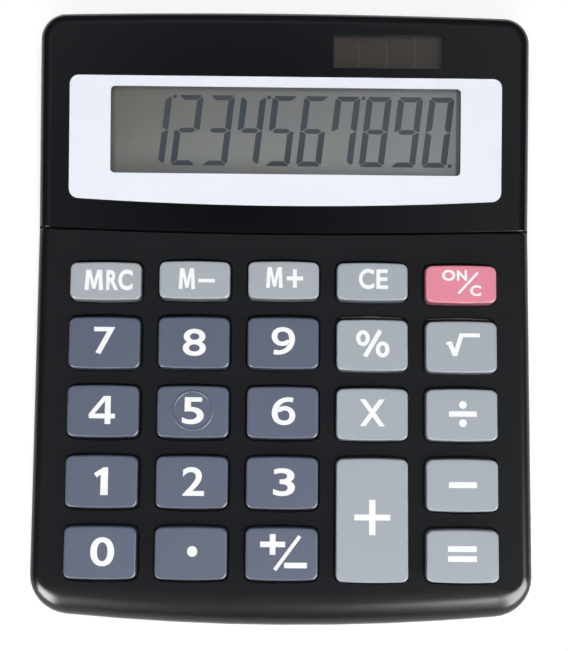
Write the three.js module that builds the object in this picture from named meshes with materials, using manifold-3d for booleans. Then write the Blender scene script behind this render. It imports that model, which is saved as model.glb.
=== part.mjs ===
// A desktop calculator: a wedge-shaped case, 24 sprung keys, a liquid crystal display and a solar cell.
// Millimetres, X to the right, Y to the rear, Z up. The origin is on the table, under the body's middle.
import * as THREE from "three";
import { mergeVertices } from "three/addons/utils/BufferGeometryUtils.js";
import Module from "manifold-3d";

const wasm = await Module();
wasm.setup();

// Slopes and heights: the deck and the display panel are two planes that meet at the seam
const deckTilt = THREE.MathUtils.degToRad(3.5);
const displayTilt = THREE.MathUtils.degToRad(10.9);
const deckMidHeight = 12.5;
const footProud = 1;

// Keys
const columnCount = 5;
const rowCount = 5;
const keyWidth = 15;
const keyDepth = 11;
const smallKeyDepth = 8.2;
const columnGap = 3.56;
const rowGap = 3.55;
const topRowGap = 3.31;
const topRowBow = 0.5;
const secondRowBow = 0.25;
const keyHeight = 3.2;
const keyCorner = 1.3;
const keyTopInset = 0.25;
const keyFillet = 0.5;
const keyEdgeBow = 0.25;
const keyWall = 1.3;
const keyFlangeReach = 0.6;
const keyFlangeThickness = 0.8;
const keyFlangeGap = 0.25;
const keyHoleClearance = 0.35;
const keyStemRadius = 2;
const keyTravel = 1.2;
const markRadius = 4;
const markWidth = 0.5;
const markHeight = 0.25;

// Margins round the keypad: to the body's sides and front edge, and to the seam
const sideMargin = 7.38;
const frontMargin = 8.82;
const seamMargin = 6.87;

// Display panel, its two clear windows and the margins round them
const panelThickness = 2;
const panelGap = 0.25;
const panelEdgeCentre = -0.4;
const panelEdgeBow = 1;
const windowWidth = 74.2;
const windowDepth = 18.4;
const windowMargin = 12.25;
const windowRadius = 0.9;
const solarX = 21.7;
const solarWidth = 22.9;
const solarDepth = 7;
const solarGap = 4.3;
const rearMargin = 5.2;
const openingMargin = 0.8;

// Body outline and the rounding of its top edge, as reach inwards and drop
const frontEdgeRadius = 500;
const rearEdgeRadius = 1800;
const frontCornerRadius = 8;
const rearCornerRadius = 5.3;
const frontReach = 6.2;
const frontDrop = 4.4;
const sideReach = 2.5;
const sideDrop = 2.5;
const rearReach = 2;
const rearDrop = 2.2;
const undersideRound = 1.2;

// Walls of the two case shells and the joint between them
const caseWall = 1.8;
const deckWall = 1.8;
const ledgeWall = 1.4;
const floorWall = 1.6;
const leastInnerRound = 0.4;
const partingFrontHeight = 3.6;
const partingRearHeight = 8.4;
const partingGap = 0.2;
const lipClearance = 0.3;
const lipThickness = 0.8;
const lipHeight = 1;
const crossRibWidth = 1.4;

// Liquid crystal cell, its ribbon and the solar cell
const laminateGap = 0.1;
const seatGap = 0.15;
const lcdSideMargin = 2.9;
const lcdEndMargin = 2.8;
const lcdGlass = 1.1;
const lcdContactLedge = 3;
const reflectorThickness = 0.25;
const reflectorMargin = 0.5;
const lcdRibWidth = 1.2;
const lcdRibGap = 0.3;
const lcdRibDepth = 3;
const solarGlass = 1.1;
const solarMargin = 1;
const ribbonWidth = 44;
const ribbonThickness = 0.25;
const ribbonBond = 2.2;

// Rubber key mat
const domeGap = 0.2;
const domeOverTravel = 0.15;
const domeRadius = 3.4;
const domeTopRadius = 2;
const domeWall = 0.6;
const matThickness = 0.6;
const matMargin = 0.5;
const matCorner = 2;

// Circuit board, chip and board screws
const boardGap = 0.1;
const boardThickness = 1;
const boardSideGap = 0.5;
const boardFrontMargin = 0.9;
const boardRearReach = 2.77;
const boardCorner = 3;
const chipRearMargin = 10;
const chipRadius = 6;
const chipHeight = 1.6;
const boardScrewMargin = 1.4;
const boardBossRadius = 1.7;
const boardBossGap = 0.15;
const screwHoleSlack = 0.35;
const pilotSlack = 0.15;
const boardShankRadius = 0.85;
const boardScrewLength = 3.5;

// Case screws, and the seats where they pull the two shells together
const frontScrewSideMargin = 14;
const frontScrewMargin = 4.8;
const rearScrewSideMargin = 6.6;
const rearScrewMargin = 6.8;
const frontSeatHeight = 3.4;
const rearSeatHeight = 9;
const seatWall = 1.4;
const bossGap = 0.25;
const bossRadius = 2.4;
const standRadius = 3.2;
const counterboreRadius = 2.2;
const caseShankRadius = 1.1;
const caseScrewLength = 4.6;
const screwHeadRadius = 1.8;
const screwHeadThickness = 0.85;
const screwHeadChamfer = 0.25;
const driveWidth = 0.5;
const driveLength = 2.2;
const driveDepth = 0.5;

// Rubber feet
const footRadius = 4.5;
const footThickness = 1.5;
const footChamfer = 0.3;
const footRecessClearance = 0.15;
const footSideMargin = 10;
const footFrontMargin = 14;
const footRearMargin = 18;

// Button cell, its bay, contacts and sliding cover
const bayFootGap = 18;
const bayHalfWidth = 11.5;
const bayReach = 9.7;
const bayRoof = 1;
const cellRearMargin = 13.7;
const cellRadius = 5.8;
const cellHeight = 5.4;
const cellRimChamfer = 0.4;
const pocketClearance = 0.5;
const pocketRearClearance = 0.2;
const coverFrontGap = 0.6;
const coverWidth = 16;
const coverFlangeReach = 1.2;
const coverPlate = 1.25;
const coverFlange = 0.9;
const coverClearance = 0.25;
const coverLedge = 1;
const gripLength = 8;
const gripWidth = 0.8;
const gripDepth = 0.5;
const gripPitch = 2.2;
const gripCount = 3;
const gripRearMargin = 7;
const stripWidth = 4;
const stripThickness = 0.3;
const stripGap = 0.15;
const stripTail = 5.1;
const stripSlotClearance = 0.2;
const plusTailRise = 1.7;
const plusStripFoot = 0.5;
const plusStripHeight = 4.2;

// Wires inside the case
const wireRadius = 0.4;

// One overrun for every cut, and the reach of a tool that clears the whole body
const overrun = 1;
const toolReach = 200;

// Facets
const cornerSteps = 2;
const bowSteps = 2;
const frontEdgeSteps = 8;
const rearEdgeSteps = 4;
const frontCornerSteps = 8;
const rearCornerSteps = 6;
const outerRoundSteps = 6;
const deckRoomRoundSteps = 2;
const displayRoomRoundSteps = 1;
const discSides = 20;
const postSides = 16;
const smallPostSides = 10;
const tinyPostSides = 8;
const domeSides = 8;
const chipSteps = 3;
const wireSides = 8;
const batteryWireSteps = 9;
const solarWireSteps = 14;
const mergeDistance = 0.0001;

// The keypad's grid and the body that follows from it and from the display
const keyPitchX = keyWidth + columnGap;
const keyPitchY = keyDepth + rowGap;
const keypadLength = smallKeyDepth + topRowGap + (rowCount - 1) * keyPitchY - rowGap;
const deckDepth = (frontMargin + keypadLength + seamMargin) * Math.cos(deckTilt);
const displayLength = windowMargin + windowDepth + solarGap + solarDepth + rearMargin;
const displayDepth = displayLength * Math.cos(displayTilt);
const bodyWidth = columnCount * keyPitchX - columnGap + 2 * sideMargin;
const bodyDepth = deckDepth + displayDepth;
const halfWidth = bodyWidth / 2;
const halfDepth = bodyDepth / 2;
const seamY = halfDepth - displayDepth;

const deckFrame = { y: 0, z: deckMidHeight, tilt: deckTilt };
const seamHeight = deckMidHeight + seamY * Math.tan(deckTilt);
const displayFrame = { y: seamY, z: seamHeight, tilt: displayTilt };
const partingTilt = Math.atan((partingRearHeight - partingFrontHeight) / bodyDepth);
const partingFrame = { y: -halfDepth, z: partingFrontHeight, tilt: partingTilt };
const levelFrame = { y: 0, z: 0, tilt: 0 };
const floorTop = footProud + floorWall;

// Places along the deck, measured up its slope from the body's middle
const seamPlace = seamY / Math.cos(deckTilt);
const topRowY = seamPlace - seamMargin - smallKeyDepth / 2;
const secondRowY = topRowY - smallKeyDepth / 2 - topRowGap - keyDepth / 2;
const lastRowY = secondRowY - (rowCount - 2) * keyPitchY;

// Places along the display panel, measured up its slope from the seam
const windowCentre = windowMargin + windowDepth / 2;
const solarCentre = windowMargin + windowDepth + solarGap + solarDepth / 2;
const lcdWidth = windowWidth + 2 * lcdSideMargin;
const lcdDepth = windowDepth + 2 * lcdEndMargin;

// Depths below the deck's top face, measured square to the deck
const flangeTop = -(deckWall + keyFlangeGap);
const flangeLow = flangeTop - keyFlangeThickness;
const domeTop = flangeLow - domeGap;
const matTop = flangeLow - keyTravel - domeOverTravel;
const matLow = matTop - matThickness;
const boardTop = matLow - boardGap;
const boardLow = boardTop - boardThickness;

// The board and its screws
const boardHalfWidth = halfWidth - caseWall - lipClearance - lipThickness - boardSideGap;
const boardFrontY = lastRowY - keyDepth / 2 - boardFrontMargin;
const boardRearY = seamPlace + boardRearReach;
const boardScrewX = boardHalfWidth - boardScrewMargin;
const boardScrewFrontY = lastRowY + keyPitchY / 2;
const boardScrewRearY = topRowY - smallKeyDepth / 2 - topRowGap / 2;
const chipX = keyPitchX / 2;
const chipY = boardRearY - chipRearMargin;

// The places of the feet and of the battery bay, its cover and its cell
const footX = halfWidth - footSideMargin;
const bayX = bayFootGap - footX;
const cellY = halfDepth - cellRearMargin;
const bayFrontY = cellY - bayReach;
const coverFrontY = bayFrontY + coverFrontGap;
const stripTailY = bayFrontY - stripTail;

// Depths below the display panel's top face, measured square to it
const ledgeLow = -(panelThickness + panelGap + ledgeWall);
const lcdTop = ledgeLow - seatGap;

// The keys, row by row from the rear: name, column, and the colour group
const keyRows = [
  ["mrc memory", "m_minus memory", "m_plus memory", "ce light", "on_c pink"],
  ["7 digit", "8 digit", "9 digit", "percent light", "root light"],
  ["4 digit", "5 digit", "6 digit", "multiply light", "divide light"],
  ["1 digit", "2 digit", "3 digit", "plus light", "minus light"],
  ["0 digit", "point digit", "sign digit", "", "equals light"],
];
const markedKey = "5";
const tallKey = "plus";

const plastic = (color, roughness) => new THREE.MeshStandardMaterial({ color, roughness, metalness: 0 });
const metal = (color, roughness) => new THREE.MeshStandardMaterial({ color, roughness, metalness: 1 });
const materials = {
  caseBlack: plastic("#222427", 0.5),
  panelBlack: plastic("#15161a", 0.1),
  glass: plastic("#70706f", 0.1),
  reflector: plastic("#8f9190", 0.4),
  ribbon: plastic("#b3874a", 0.5),
  solar: plastic("#3f3836", 0.15),
  board: plastic("#8a7a45", 0.6),
  chip: plastic("#0d0d0e", 0.3),
  rubber: plastic("#26282b", 0.9),
  mat: plastic("#b9bcc0", 0.8),
  steel: metal("#b7babd", 0.35),
  redWire: plastic("#a3202a", 0.5),
  blackWire: plastic("#16171a", 0.5),
  digit: plastic("#646b81", 0.45),
  light: plastic("#aab2ba", 0.45),
  memory: plastic("#b1b7c0", 0.45),
  pink: plastic("#e48c9e", 0.45),
};

function frameMatrix(frame) {
  return new THREE.Matrix4().makeRotationX(frame.tilt).setPosition(0, frame.y, frame.z);
}

// A closed geometry as a solid, in the given frame
function solidOf(geometry, frame = levelFrame) {
  const bare = new THREE.BufferGeometry();
  bare.setAttribute("position", geometry.getAttribute("position").clone());
  bare.setIndex(geometry.getIndex());
  bare.applyMatrix4(frameMatrix(frame));
  const merged = mergeVertices(bare, mergeDistance);
  const mesh = new wasm.Mesh({
    numProp: 3,
    vertProperties: merged.getAttribute("position").array,
    triVerts: new Uint32Array(merged.getIndex().array),
  });
  return new wasm.Manifold(mesh);
}

function geometryOf(solid) {
  const mesh = solid.getMesh();
  const geometry = new THREE.BufferGeometry();
  geometry.setAttribute("position", new THREE.BufferAttribute(mesh.vertProperties, 3));
  geometry.setIndex(new THREE.BufferAttribute(mesh.triVerts, 1));
  geometry.computeVertexNormals();
  return geometry;
}

function cut(solid, ...tools) {
  return tools.reduce((left, tool) => left.subtract(tool), solid);
}

function join(...solids) {
  return solids.reduce((whole, solid) => whole.add(solid));
}

// A closed surface through convex rings of points, from the lowest ring to the highest.
// A roof with a fold has two flat halves that meet between two places on the top ring.
function loft(rings, fold = [0, rings[0].length - 1]) {
  const count = rings[0].length;
  const index = [];
  for (let j = 1; j < count - 1; j++) index.push(0, j + 1, j);
  rings.slice(1).forEach((_, band) => {
    for (let j = 0; j < count; j++) {
      const low = band * count + j;
      const lowNext = band * count + ((j + 1) % count);
      index.push(low, lowNext, lowNext + count, low, lowNext + count, low + count);
    }
  });
  const top = (rings.length - 1) * count;
  const fan = (first, last) => {
    for (let j = first + 1; j < last; j++) {
      index.push(top + (first % count), top + (j % count), top + ((j + 1) % count));
    }
  };
  fan(fold[0], fold[1]);
  fan(fold[1], fold[0] + count);
  const geometry = new THREE.BufferGeometry().setFromPoints(rings.flat());
  geometry.setIndex(index);
  return geometry;
}

// A flat shape raised from one height to another
function prism(shape, low, high, frame) {
  const geometry = new THREE.ExtrudeGeometry(shape, { depth: high - low, bevelEnabled: false });
  return solidOf(geometry.translate(0, 0, low), frame);
}

function rectangle(left, right, front, rear) {
  return new THREE.Shape([
    new THREE.Vector2(left, front),
    new THREE.Vector2(right, front),
    new THREE.Vector2(right, rear),
    new THREE.Vector2(left, rear),
  ]);
}

function block(left, right, front, rear, low, high, frame) {
  return prism(rectangle(left, right, front, rear), low, high, frame);
}

function post(x, y, radius, low, high, frame, sides = postSides) {
  const geometry = new THREE.CylinderGeometry(radius, radius, high - low, sides);
  geometry.rotateX(Math.PI / 2).translate(x, y, (low + high) / 2);
  return solidOf(geometry, frame);
}

// A convex outline with round corners whose front and rear edges bow outwards
function bowedOutline(width, depth, corner, bow, steps = cornerSteps) {
  const points = [];
  const across = width / 2 - corner;
  const along = depth / 2 - corner;
  const corners = [
    [-across, -along, Math.PI],
    [across, -along, 1.5 * Math.PI],
    [across, along, 0],
    [-across, along, 0.5 * Math.PI],
  ];
  corners.forEach(([x, y, start], place) => {
    for (let i = 0; i <= steps; i++) {
      const angle = start + ((Math.PI / 2) * i) / steps;
      points.push(new THREE.Vector2(x + corner * Math.cos(angle), y + corner * Math.sin(angle)));
    }
    const edge = place === 0 ? -1 : 1;
    if (place % 2 === 0 && bow > 0) {
      for (let i = 1; i < bowSteps; i++) {
        const share = (2 * i) / bowSteps - 1;
        const out = depth / 2 + bow * (1 - share * share);
        points.push(new THREE.Vector2(-edge * across * share, edge * out));
      }
    }
  });
  return points;
}

// The body's outline as points with their outward directions, anticlockwise from the front left
function bodyStations() {
  const corner = (edgeRadius, cornerRadius) => {
    const across = halfWidth - cornerRadius;
    const spread = Math.asin(across / (edgeRadius - cornerRadius));
    const centre = edgeRadius - (edgeRadius - cornerRadius) * Math.cos(spread);
    return { across, spread, y: halfDepth - centre };
  };
  const front = corner(frontEdgeRadius, frontCornerRadius);
  const rear = corner(rearEdgeRadius, rearCornerRadius);
  const frontMiddle = frontEdgeRadius - halfDepth;
  const rearMiddle = halfDepth - rearEdgeRadius;
  const quarter = Math.PI / 2;
  const stations = [];
  const fold = [];
  const arc = (x, y, radius, from, to, steps, first) => {
    for (let i = first; i <= steps; i++) {
      const angle = from + ((to - from) * i) / steps;
      const nx = Math.cos(angle);
      const ny = Math.sin(angle);
      stations.push({ x: x + radius * nx, y: y + radius * ny, nx, ny });
    }
  };
  const quarterLeft = quarter - rear.spread;
  const quarterRight = quarter + rear.spread;
  const frontLeft = -quarter - front.spread;
  const frontRight = front.spread - quarter;
  arc(0, frontMiddle, frontEdgeRadius, frontLeft, frontRight, frontEdgeSteps, 0);
  arc(front.across, -front.y, frontCornerRadius, frontRight, 0, frontCornerSteps, 1);
  fold.push(stations.length);
  stations.push({ x: halfWidth, y: seamY, nx: 1, ny: 0 });
  arc(rear.across, rear.y, rearCornerRadius, 0, quarterLeft, rearCornerSteps, 0);
  arc(0, rearMiddle, rearEdgeRadius, quarterLeft, quarterRight, rearEdgeSteps, 1);
  arc(-rear.across, rear.y, rearCornerRadius, quarterRight, 2 * quarter, rearCornerSteps, 1);
  fold.push(stations.length);
  stations.push({ x: -halfWidth, y: seamY, nx: -1, ny: 0 });
  arc(-front.across, -front.y, frontCornerRadius, -2 * quarter, frontLeft, frontCornerSteps, 0);
  stations.pop();
  return { stations, fold };
}

const { stations, fold } = bodyStations();

// How far the rounded top edge reaches in and drops at one station
function edgeRound(station) {
  const share = station.ny * station.ny;
  const reach = station.ny < 0 ? frontReach : rearReach;
  const drop = station.ny < 0 ? frontDrop : rearDrop;
  return {
    reach: sideReach + (reach - sideReach) * share,
    drop: sideDrop + (drop - sideDrop) * share,
  };
}

function insetRing(inset, height) {
  return stations.map((s) => new THREE.Vector3(s.x - s.nx * inset, s.y - s.ny * inset, height));
}

// The body's outline drawn in by an inset, under the two sloping planes lowered straight down
function bodyLoft(inset, lowered, low, underRound, steps) {
  const rings = [];
  if (underRound > 0) rings.push(insetRing(inset + underRound, low));
  rings.push(insetRing(inset, low + underRound));
  const slope = (y) => (y < seamY ? Math.tan(deckTilt) : Math.tan(displayTilt));
  const roof = (y) => seamHeight + (y - seamY) * slope(y) - lowered;
  for (let i = 0; i <= steps; i++) {
    const angle = ((Math.PI / 2) * i) / steps;
    rings.push(
      stations.map((s) => {
        const round = edgeRound(s);
        const reach = inset > 0 ? Math.max(round.reach - inset, leastInnerRound) : round.reach;
        const drop = inset > 0 ? Math.max(round.drop - lowered, leastInnerRound) : round.drop;
        const inwards = inset + reach * (1 - Math.cos(angle));
        const y = s.y - s.ny * inwards;
        return new THREE.Vector3(s.x - s.nx * inwards, y, roof(y) - drop * (1 - Math.sin(angle)));
      }),
    );
  }
  return solidOf(loft(rings, fold));
}

function outlinePrism(inset, low, high) {
  return solidOf(loft([insetRing(inset, low), insetRing(inset, high)]));
}

function halfSpace(frame, low, high) {
  return block(-toolReach, toolReach, -toolReach, toolReach, low, high, frame);
}

const outerBody = bodyLoft(0, 0, footProud, undersideRound, outerRoundSteps);

// The display panel's footprint, with its bowed front edge moved back by a gap
function panelShape(gap) {
  const middle = panelEdgeCentre + gap;
  const end = middle + panelEdgeBow;
  const shape = new THREE.Shape();
  shape.moveTo(-halfWidth - overrun, end);
  shape.lineTo(-halfWidth, end);
  shape.quadraticCurveTo(0, middle - panelEdgeBow, halfWidth, end);
  shape.lineTo(halfWidth + overrun, end);
  shape.lineTo(halfWidth + overrun, toolReach);
  shape.lineTo(-halfWidth - overrun, toolReach);
  shape.closePath();
  return shape;
}

function keyPlace(row, column) {
  const middle = (columnCount - 1) / 2;
  const x = (column - middle) * keyPitchX;
  const share = 1 - ((column - middle) / middle) ** 2;
  if (row === 0) return { x, y: topRowY + topRowBow * share, depth: smallKeyDepth };
  const bow = row === 1 ? secondRowBow : 0;
  return { x, y: secondRowY - (row - 1) * keyPitchY + bow * share, depth: keyDepth };
}

function listKeys() {
  const keys = [];
  keyRows.forEach((names, row) => {
    names.forEach((entry, column) => {
      if (!entry) return;
      const [name, finish] = entry.split(" ");
      const place = keyPlace(row, column);
      if (name === tallKey) {
        place.y -= keyPitchY / 2;
        place.depth += keyPitchY;
      }
      keys.push({ name, finish, ...place });
    });
  });
  return keys;
}

const keys = listKeys();

const boardScrews = [
  [-boardScrewX, boardScrewFrontY],
  [boardScrewX, boardScrewFrontY],
  [-boardScrewX, boardScrewRearY],
  [boardScrewX, boardScrewRearY],
  [-keyPitchX / 2, boardScrewRearY],
  [keyPitchX / 2, boardScrewRearY],
];

const footFrontY = footFrontMargin - halfDepth;
const footRearY = halfDepth - footRearMargin;
const feet = [
  { side: "front_left", x: -footX, y: footFrontY },
  { side: "front_right", x: footX, y: footFrontY },
  { side: "rear_left", x: -footX, y: footRearY },
  { side: "rear_right", x: footX, y: footRearY },
];

const frontScrewX = halfWidth - frontScrewSideMargin;
const frontScrewY = frontScrewMargin - halfDepth;
const rearScrewX = halfWidth - rearScrewSideMargin;
const rearScrewY = halfDepth - rearScrewMargin;
const caseScrews = [
  { side: "front_left", x: -frontScrewX, y: frontScrewY, seat: frontSeatHeight },
  { side: "front_right", x: frontScrewX, y: frontScrewY, seat: frontSeatHeight },
  { side: "rear_left", x: -rearScrewX, y: rearScrewY, seat: rearSeatHeight },
  { side: "rear_right", x: rearScrewX, y: rearScrewY, seat: rearSeatHeight },
];

function keyHole(key) {
  const width = keyWidth + 2 * keyHoleClearance;
  const depth = key.depth + 2 * keyHoleClearance;
  const outline = bowedOutline(width, depth, keyCorner + keyHoleClearance, keyEdgeBow);
  outline.forEach((p) => p.add(new THREE.Vector2(key.x, key.y)));
  return prism(new THREE.Shape(outline), -deckWall - overrun, overrun, deckFrame);
}

// An opening in the ledge, a margin larger than the clear window above it
function windowOpening(x, y, clearWidth, clearDepth) {
  const width = clearWidth + 2 * openingMargin;
  const depth = clearDepth + 2 * openingMargin;
  const outline = bowedOutline(width, depth, windowRadius + openingMargin, 0);
  outline.forEach((p) => p.add(new THREE.Vector2(x, y)));
  return prism(new THREE.Shape(outline), ledgeLow - overrun, overrun, displayFrame);
}

// The body above the parting, hollowed below the deck and below the panel's ledge
function topShell(core) {
  const ribY = seamY + panelEdgeCentre - panelGap - crossRibWidth;
  const deckHalf = block(-toolReach, toolReach, -toolReach, ribY, -toolReach, toolReach);
  const deckLowered = deckWall / Math.cos(deckTilt);
  const displayLowered = -ledgeLow / Math.cos(displayTilt);
  const deckRoom = bodyLoft(caseWall, deckLowered, -overrun, 0, deckRoomRoundSteps).intersect(deckHalf);
  const displayRoom = bodyLoft(caseWall, displayLowered, -overrun, 0, displayRoomRoundSteps);
  const lcdOpening = windowOpening(0, windowCentre, windowWidth, windowDepth);
  const solarOpening = windowOpening(solarX, solarCentre, solarWidth, solarDepth);
  const shell = cut(core, join(deckRoom, displayRoom), ...keys.map(keyHole), lcdOpening, solarOpening);
  return shell.intersect(halfSpace(partingFrame, partingGap / 2, toolReach));
}

function boardPosts(radius, low, high) {
  return boardScrews.map(([x, y]) => post(x, y, radius, low, high, deckFrame, smallPostSides));
}

// Two ribs that hold the display glass at its ends
function lcdRibs() {
  const inner = lcdWidth / 2 + lcdRibGap;
  const outer = inner + lcdRibWidth;
  const front = windowCentre - windowDepth / 2;
  const rear = windowCentre + windowDepth / 2;
  const low = ledgeLow - lcdRibDepth;
  const high = ledgeLow + ledgeWall / 2;
  return [
    block(-outer, -inner, front, rear, low, high, displayFrame),
    block(inner, outer, front, rear, low, high, displayFrame),
  ];
}

// The room that a boss fills up to the middle of the wall or ledge above it
function bossRoom(screw) {
  const underDeck = deckWall / 2 / Math.cos(deckTilt);
  const underLedge = (-ledgeLow - ledgeWall / 2) / Math.cos(displayTilt);
  const lowered = screw.y < seamY ? underDeck : underLedge;
  return bodyLoft(caseWall / 2, lowered, -overrun, 0, 1);
}

function makeTopCase() {
  const recess = prism(panelShape(-panelGap), -panelThickness - panelGap, toolReach, displayFrame);
  const core = cut(outerBody, recess);
  const boardBosses = boardPosts(boardBossRadius, boardTop + boardBossGap, -deckWall / 2);
  const pilotTop = boardLow + boardScrewLength + pilotSlack;
  const boardPilots = boardPosts(boardShankRadius + pilotSlack, boardTop - overrun, pilotTop);
  const caseBosses = caseScrews.map((s) =>
    post(s.x, s.y, bossRadius, s.seat + bossGap, toolReach).intersect(bossRoom(s)),
  );
  const casePilots = caseScrews.map((s) => {
    const top = s.seat - seatWall + caseScrewLength + pilotSlack;
    return post(s.x, s.y, caseShankRadius + pilotSlack, s.seat - overrun, top, levelFrame, smallPostSides);
  });
  const whole = join(topShell(core), ...boardBosses, ...caseBosses, ...lcdRibs());
  return cut(whole, ...boardPilots, ...casePilots);
}

// The heights and widths of the cover's T-shaped slot
const slotLow = footProud + coverLedge;
const slotTop = footProud + coverPlate + coverFlange + coverClearance;
const cellLow = slotTop - coverClearance + stripGap;
const minusStripLow = cellLow + cellHeight + stripGap;
const pocketTop = minusStripLow + stripThickness + stripGap;
const bayTop = pocketTop + bayRoof;
const plusTailHeight = cellLow + plusTailRise;

function makeBatteryBay() {
  const inside = outlinePrism(caseWall + lipClearance, footProud, bayTop);
  const bay = block(bayX - bayHalfWidth, bayX + bayHalfWidth, bayFrontY, bodyDepth, footProud, bayTop);
  return bay.intersect(inside);
}

function batteryBayCuts() {
  const half = coverWidth / 2;
  const narrow = half + coverClearance;
  const wide = half + coverFlangeReach + coverClearance;
  const front = coverFrontY - coverClearance;
  const pocket = cellRadius + pocketClearance;
  const strip = stripWidth / 2 + stripSlotClearance;
  const slotFront = bayFrontY - overrun;
  const pocketFront = cellY - cellRadius - pocketClearance - stripThickness;
  const pocketRear = cellY + cellRadius + pocketRearClearance;
  const minusLow = pocketTop - stripThickness - 2 * stripGap;
  const plusLow = plusTailHeight - stripSlotClearance;
  const plusHigh = plusTailHeight + stripThickness + stripSlotClearance;
  return [
    block(bayX - narrow, bayX + narrow, front, bodyDepth, 0, slotTop),
    block(bayX - wide, bayX + wide, front, bodyDepth, slotLow, slotTop),
    block(bayX - pocket, bayX + pocket, pocketFront, pocketRear, slotLow, pocketTop),
    block(bayX - strip, bayX + strip, slotFront, cellY, minusLow, pocketTop),
    block(bayX - strip, bayX + strip, slotFront, cellY - cellRadius, plusLow, plusHigh),
  ];
}

// The tray below the parting, with a lip that stands up inside the upper case's wall
function bottomTray() {
  const lipOuter = caseWall + lipClearance;
  const lipInner = lipOuter + lipThickness;
  const below = halfSpace(partingFrame, -toolReach, -partingGap / 2);
  const tray = cut(outerBody.intersect(below), outlinePrism(lipInner, floorTop, toolReach));
  const ring = cut(outlinePrism(lipOuter, floorTop, toolReach), outlinePrism(lipInner, 0, toolReach));
  return join(tray, ring.intersect(halfSpace(partingFrame, -toolReach, lipHeight)));
}

function makeBottomCase() {
  const inside = outlinePrism(caseWall + lipClearance, 0, toolReach);
  const bossSpaces = caseScrews.map((s) => post(s.x, s.y, bossRadius + bossGap, s.seat, toolReach));
  const stands = caseScrews.map((s) =>
    post(s.x, s.y, standRadius, footProud + floorWall / 2, s.seat).intersect(inside),
  );
  const counterbores = caseScrews.map((s) => post(s.x, s.y, counterboreRadius, 0, s.seat - seatWall));
  const holeRadius = caseShankRadius + screwHoleSlack;
  const clearHoles = caseScrews.map((s) =>
    post(s.x, s.y, holeRadius, 0, s.seat + overrun, levelFrame, smallPostSides),
  );
  const recessRadius = footRadius + footRecessClearance;
  const recessTop = footThickness + footRecessClearance;
  const footRecesses = feet.map((foot) =>
    post(foot.x, foot.y, recessRadius, 0, recessTop, levelFrame, discSides),
  );
  const body = join(cut(bottomTray(), ...bossSpaces), ...stands, makeBatteryBay());
  return cut(body, ...counterbores, ...clearHoles, ...footRecesses, ...batteryBayCuts());
}

function makeBatteryCover() {
  const half = coverWidth / 2;
  const wide = half + coverFlangeReach;
  const plateTop = footProud + coverPlate;
  const plate = block(bayX - half, bayX + half, coverFrontY, bodyDepth, 0, plateTop + coverFlange);
  const flange = block(bayX - wide, bayX + wide, coverFrontY, bodyDepth, plateTop, plateTop + coverFlange);
  const grooves = Array.from({ length: gripCount }, (_, i) => {
    const y = halfDepth - gripRearMargin - i * gripPitch;
    return block(bayX - gripLength / 2, bayX + gripLength / 2, y - gripWidth, y, 0, footProud + gripDepth);
  });
  return cut(join(plate, flange).intersect(outerBody), ...grooves);
}

function makePanel() {
  return prism(panelShape(0), -panelThickness, 2 * bodyDepth, displayFrame).intersect(outerBody);
}

function keyRing(width, depth, corner, height) {
  return bowedOutline(width, depth, corner, keyEdgeBow).map((p) => new THREE.Vector3(p.x, p.y, height));
}

// One keycap about its own middle: flange, drafted body with a rounded top, hollow with a stem
function makeKey(depth, marked) {
  const reach = 2 * keyFlangeReach;
  const flangeCorner = keyCorner + keyFlangeReach;
  const inset = 2 * keyTopInset;
  const fillet = 2 * keyFillet;
  const body = solidOf(
    loft([
      keyRing(keyWidth + reach, depth + reach, flangeCorner, flangeLow),
      keyRing(keyWidth + reach, depth + reach, flangeCorner, flangeTop),
      keyRing(keyWidth, depth, keyCorner, flangeTop),
      keyRing(keyWidth - inset, depth - inset, keyCorner, keyHeight - keyFillet),
      keyRing(keyWidth - inset - fillet, depth - inset - fillet, keyCorner - keyFillet, keyHeight),
    ]),
  );
  const across = keyWidth / 2 - keyWall;
  const along = depth / 2 - keyWall;
  const pocketHigh = keyHeight - keyWall;
  const pocket = block(-across, across, -along, along, flangeLow - overrun, pocketHigh);
  const stem = post(0, 0, keyStemRadius, flangeLow, pocketHigh + keyWall / 2, levelFrame, tinyPostSides);
  const cap = join(cut(body, pocket), stem);
  return marked ? join(cap, makeMark()) : cap;
}

// The raised ring that a finger feels on the middle key
function makeMark() {
  const half = markWidth / 2;
  const low = keyHeight - markHeight;
  const high = keyHeight + markHeight;
  const profile = [
    new THREE.Vector2(markRadius - half, low),
    new THREE.Vector2(markRadius + half, low),
    new THREE.Vector2(markRadius + half, keyHeight),
    new THREE.Vector2(markRadius, high),
    new THREE.Vector2(markRadius - half, keyHeight),
    new THREE.Vector2(markRadius - half, low),
  ];
  return solidOf(new THREE.LatheGeometry(profile, discSides).rotateX(Math.PI / 2));
}

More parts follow.
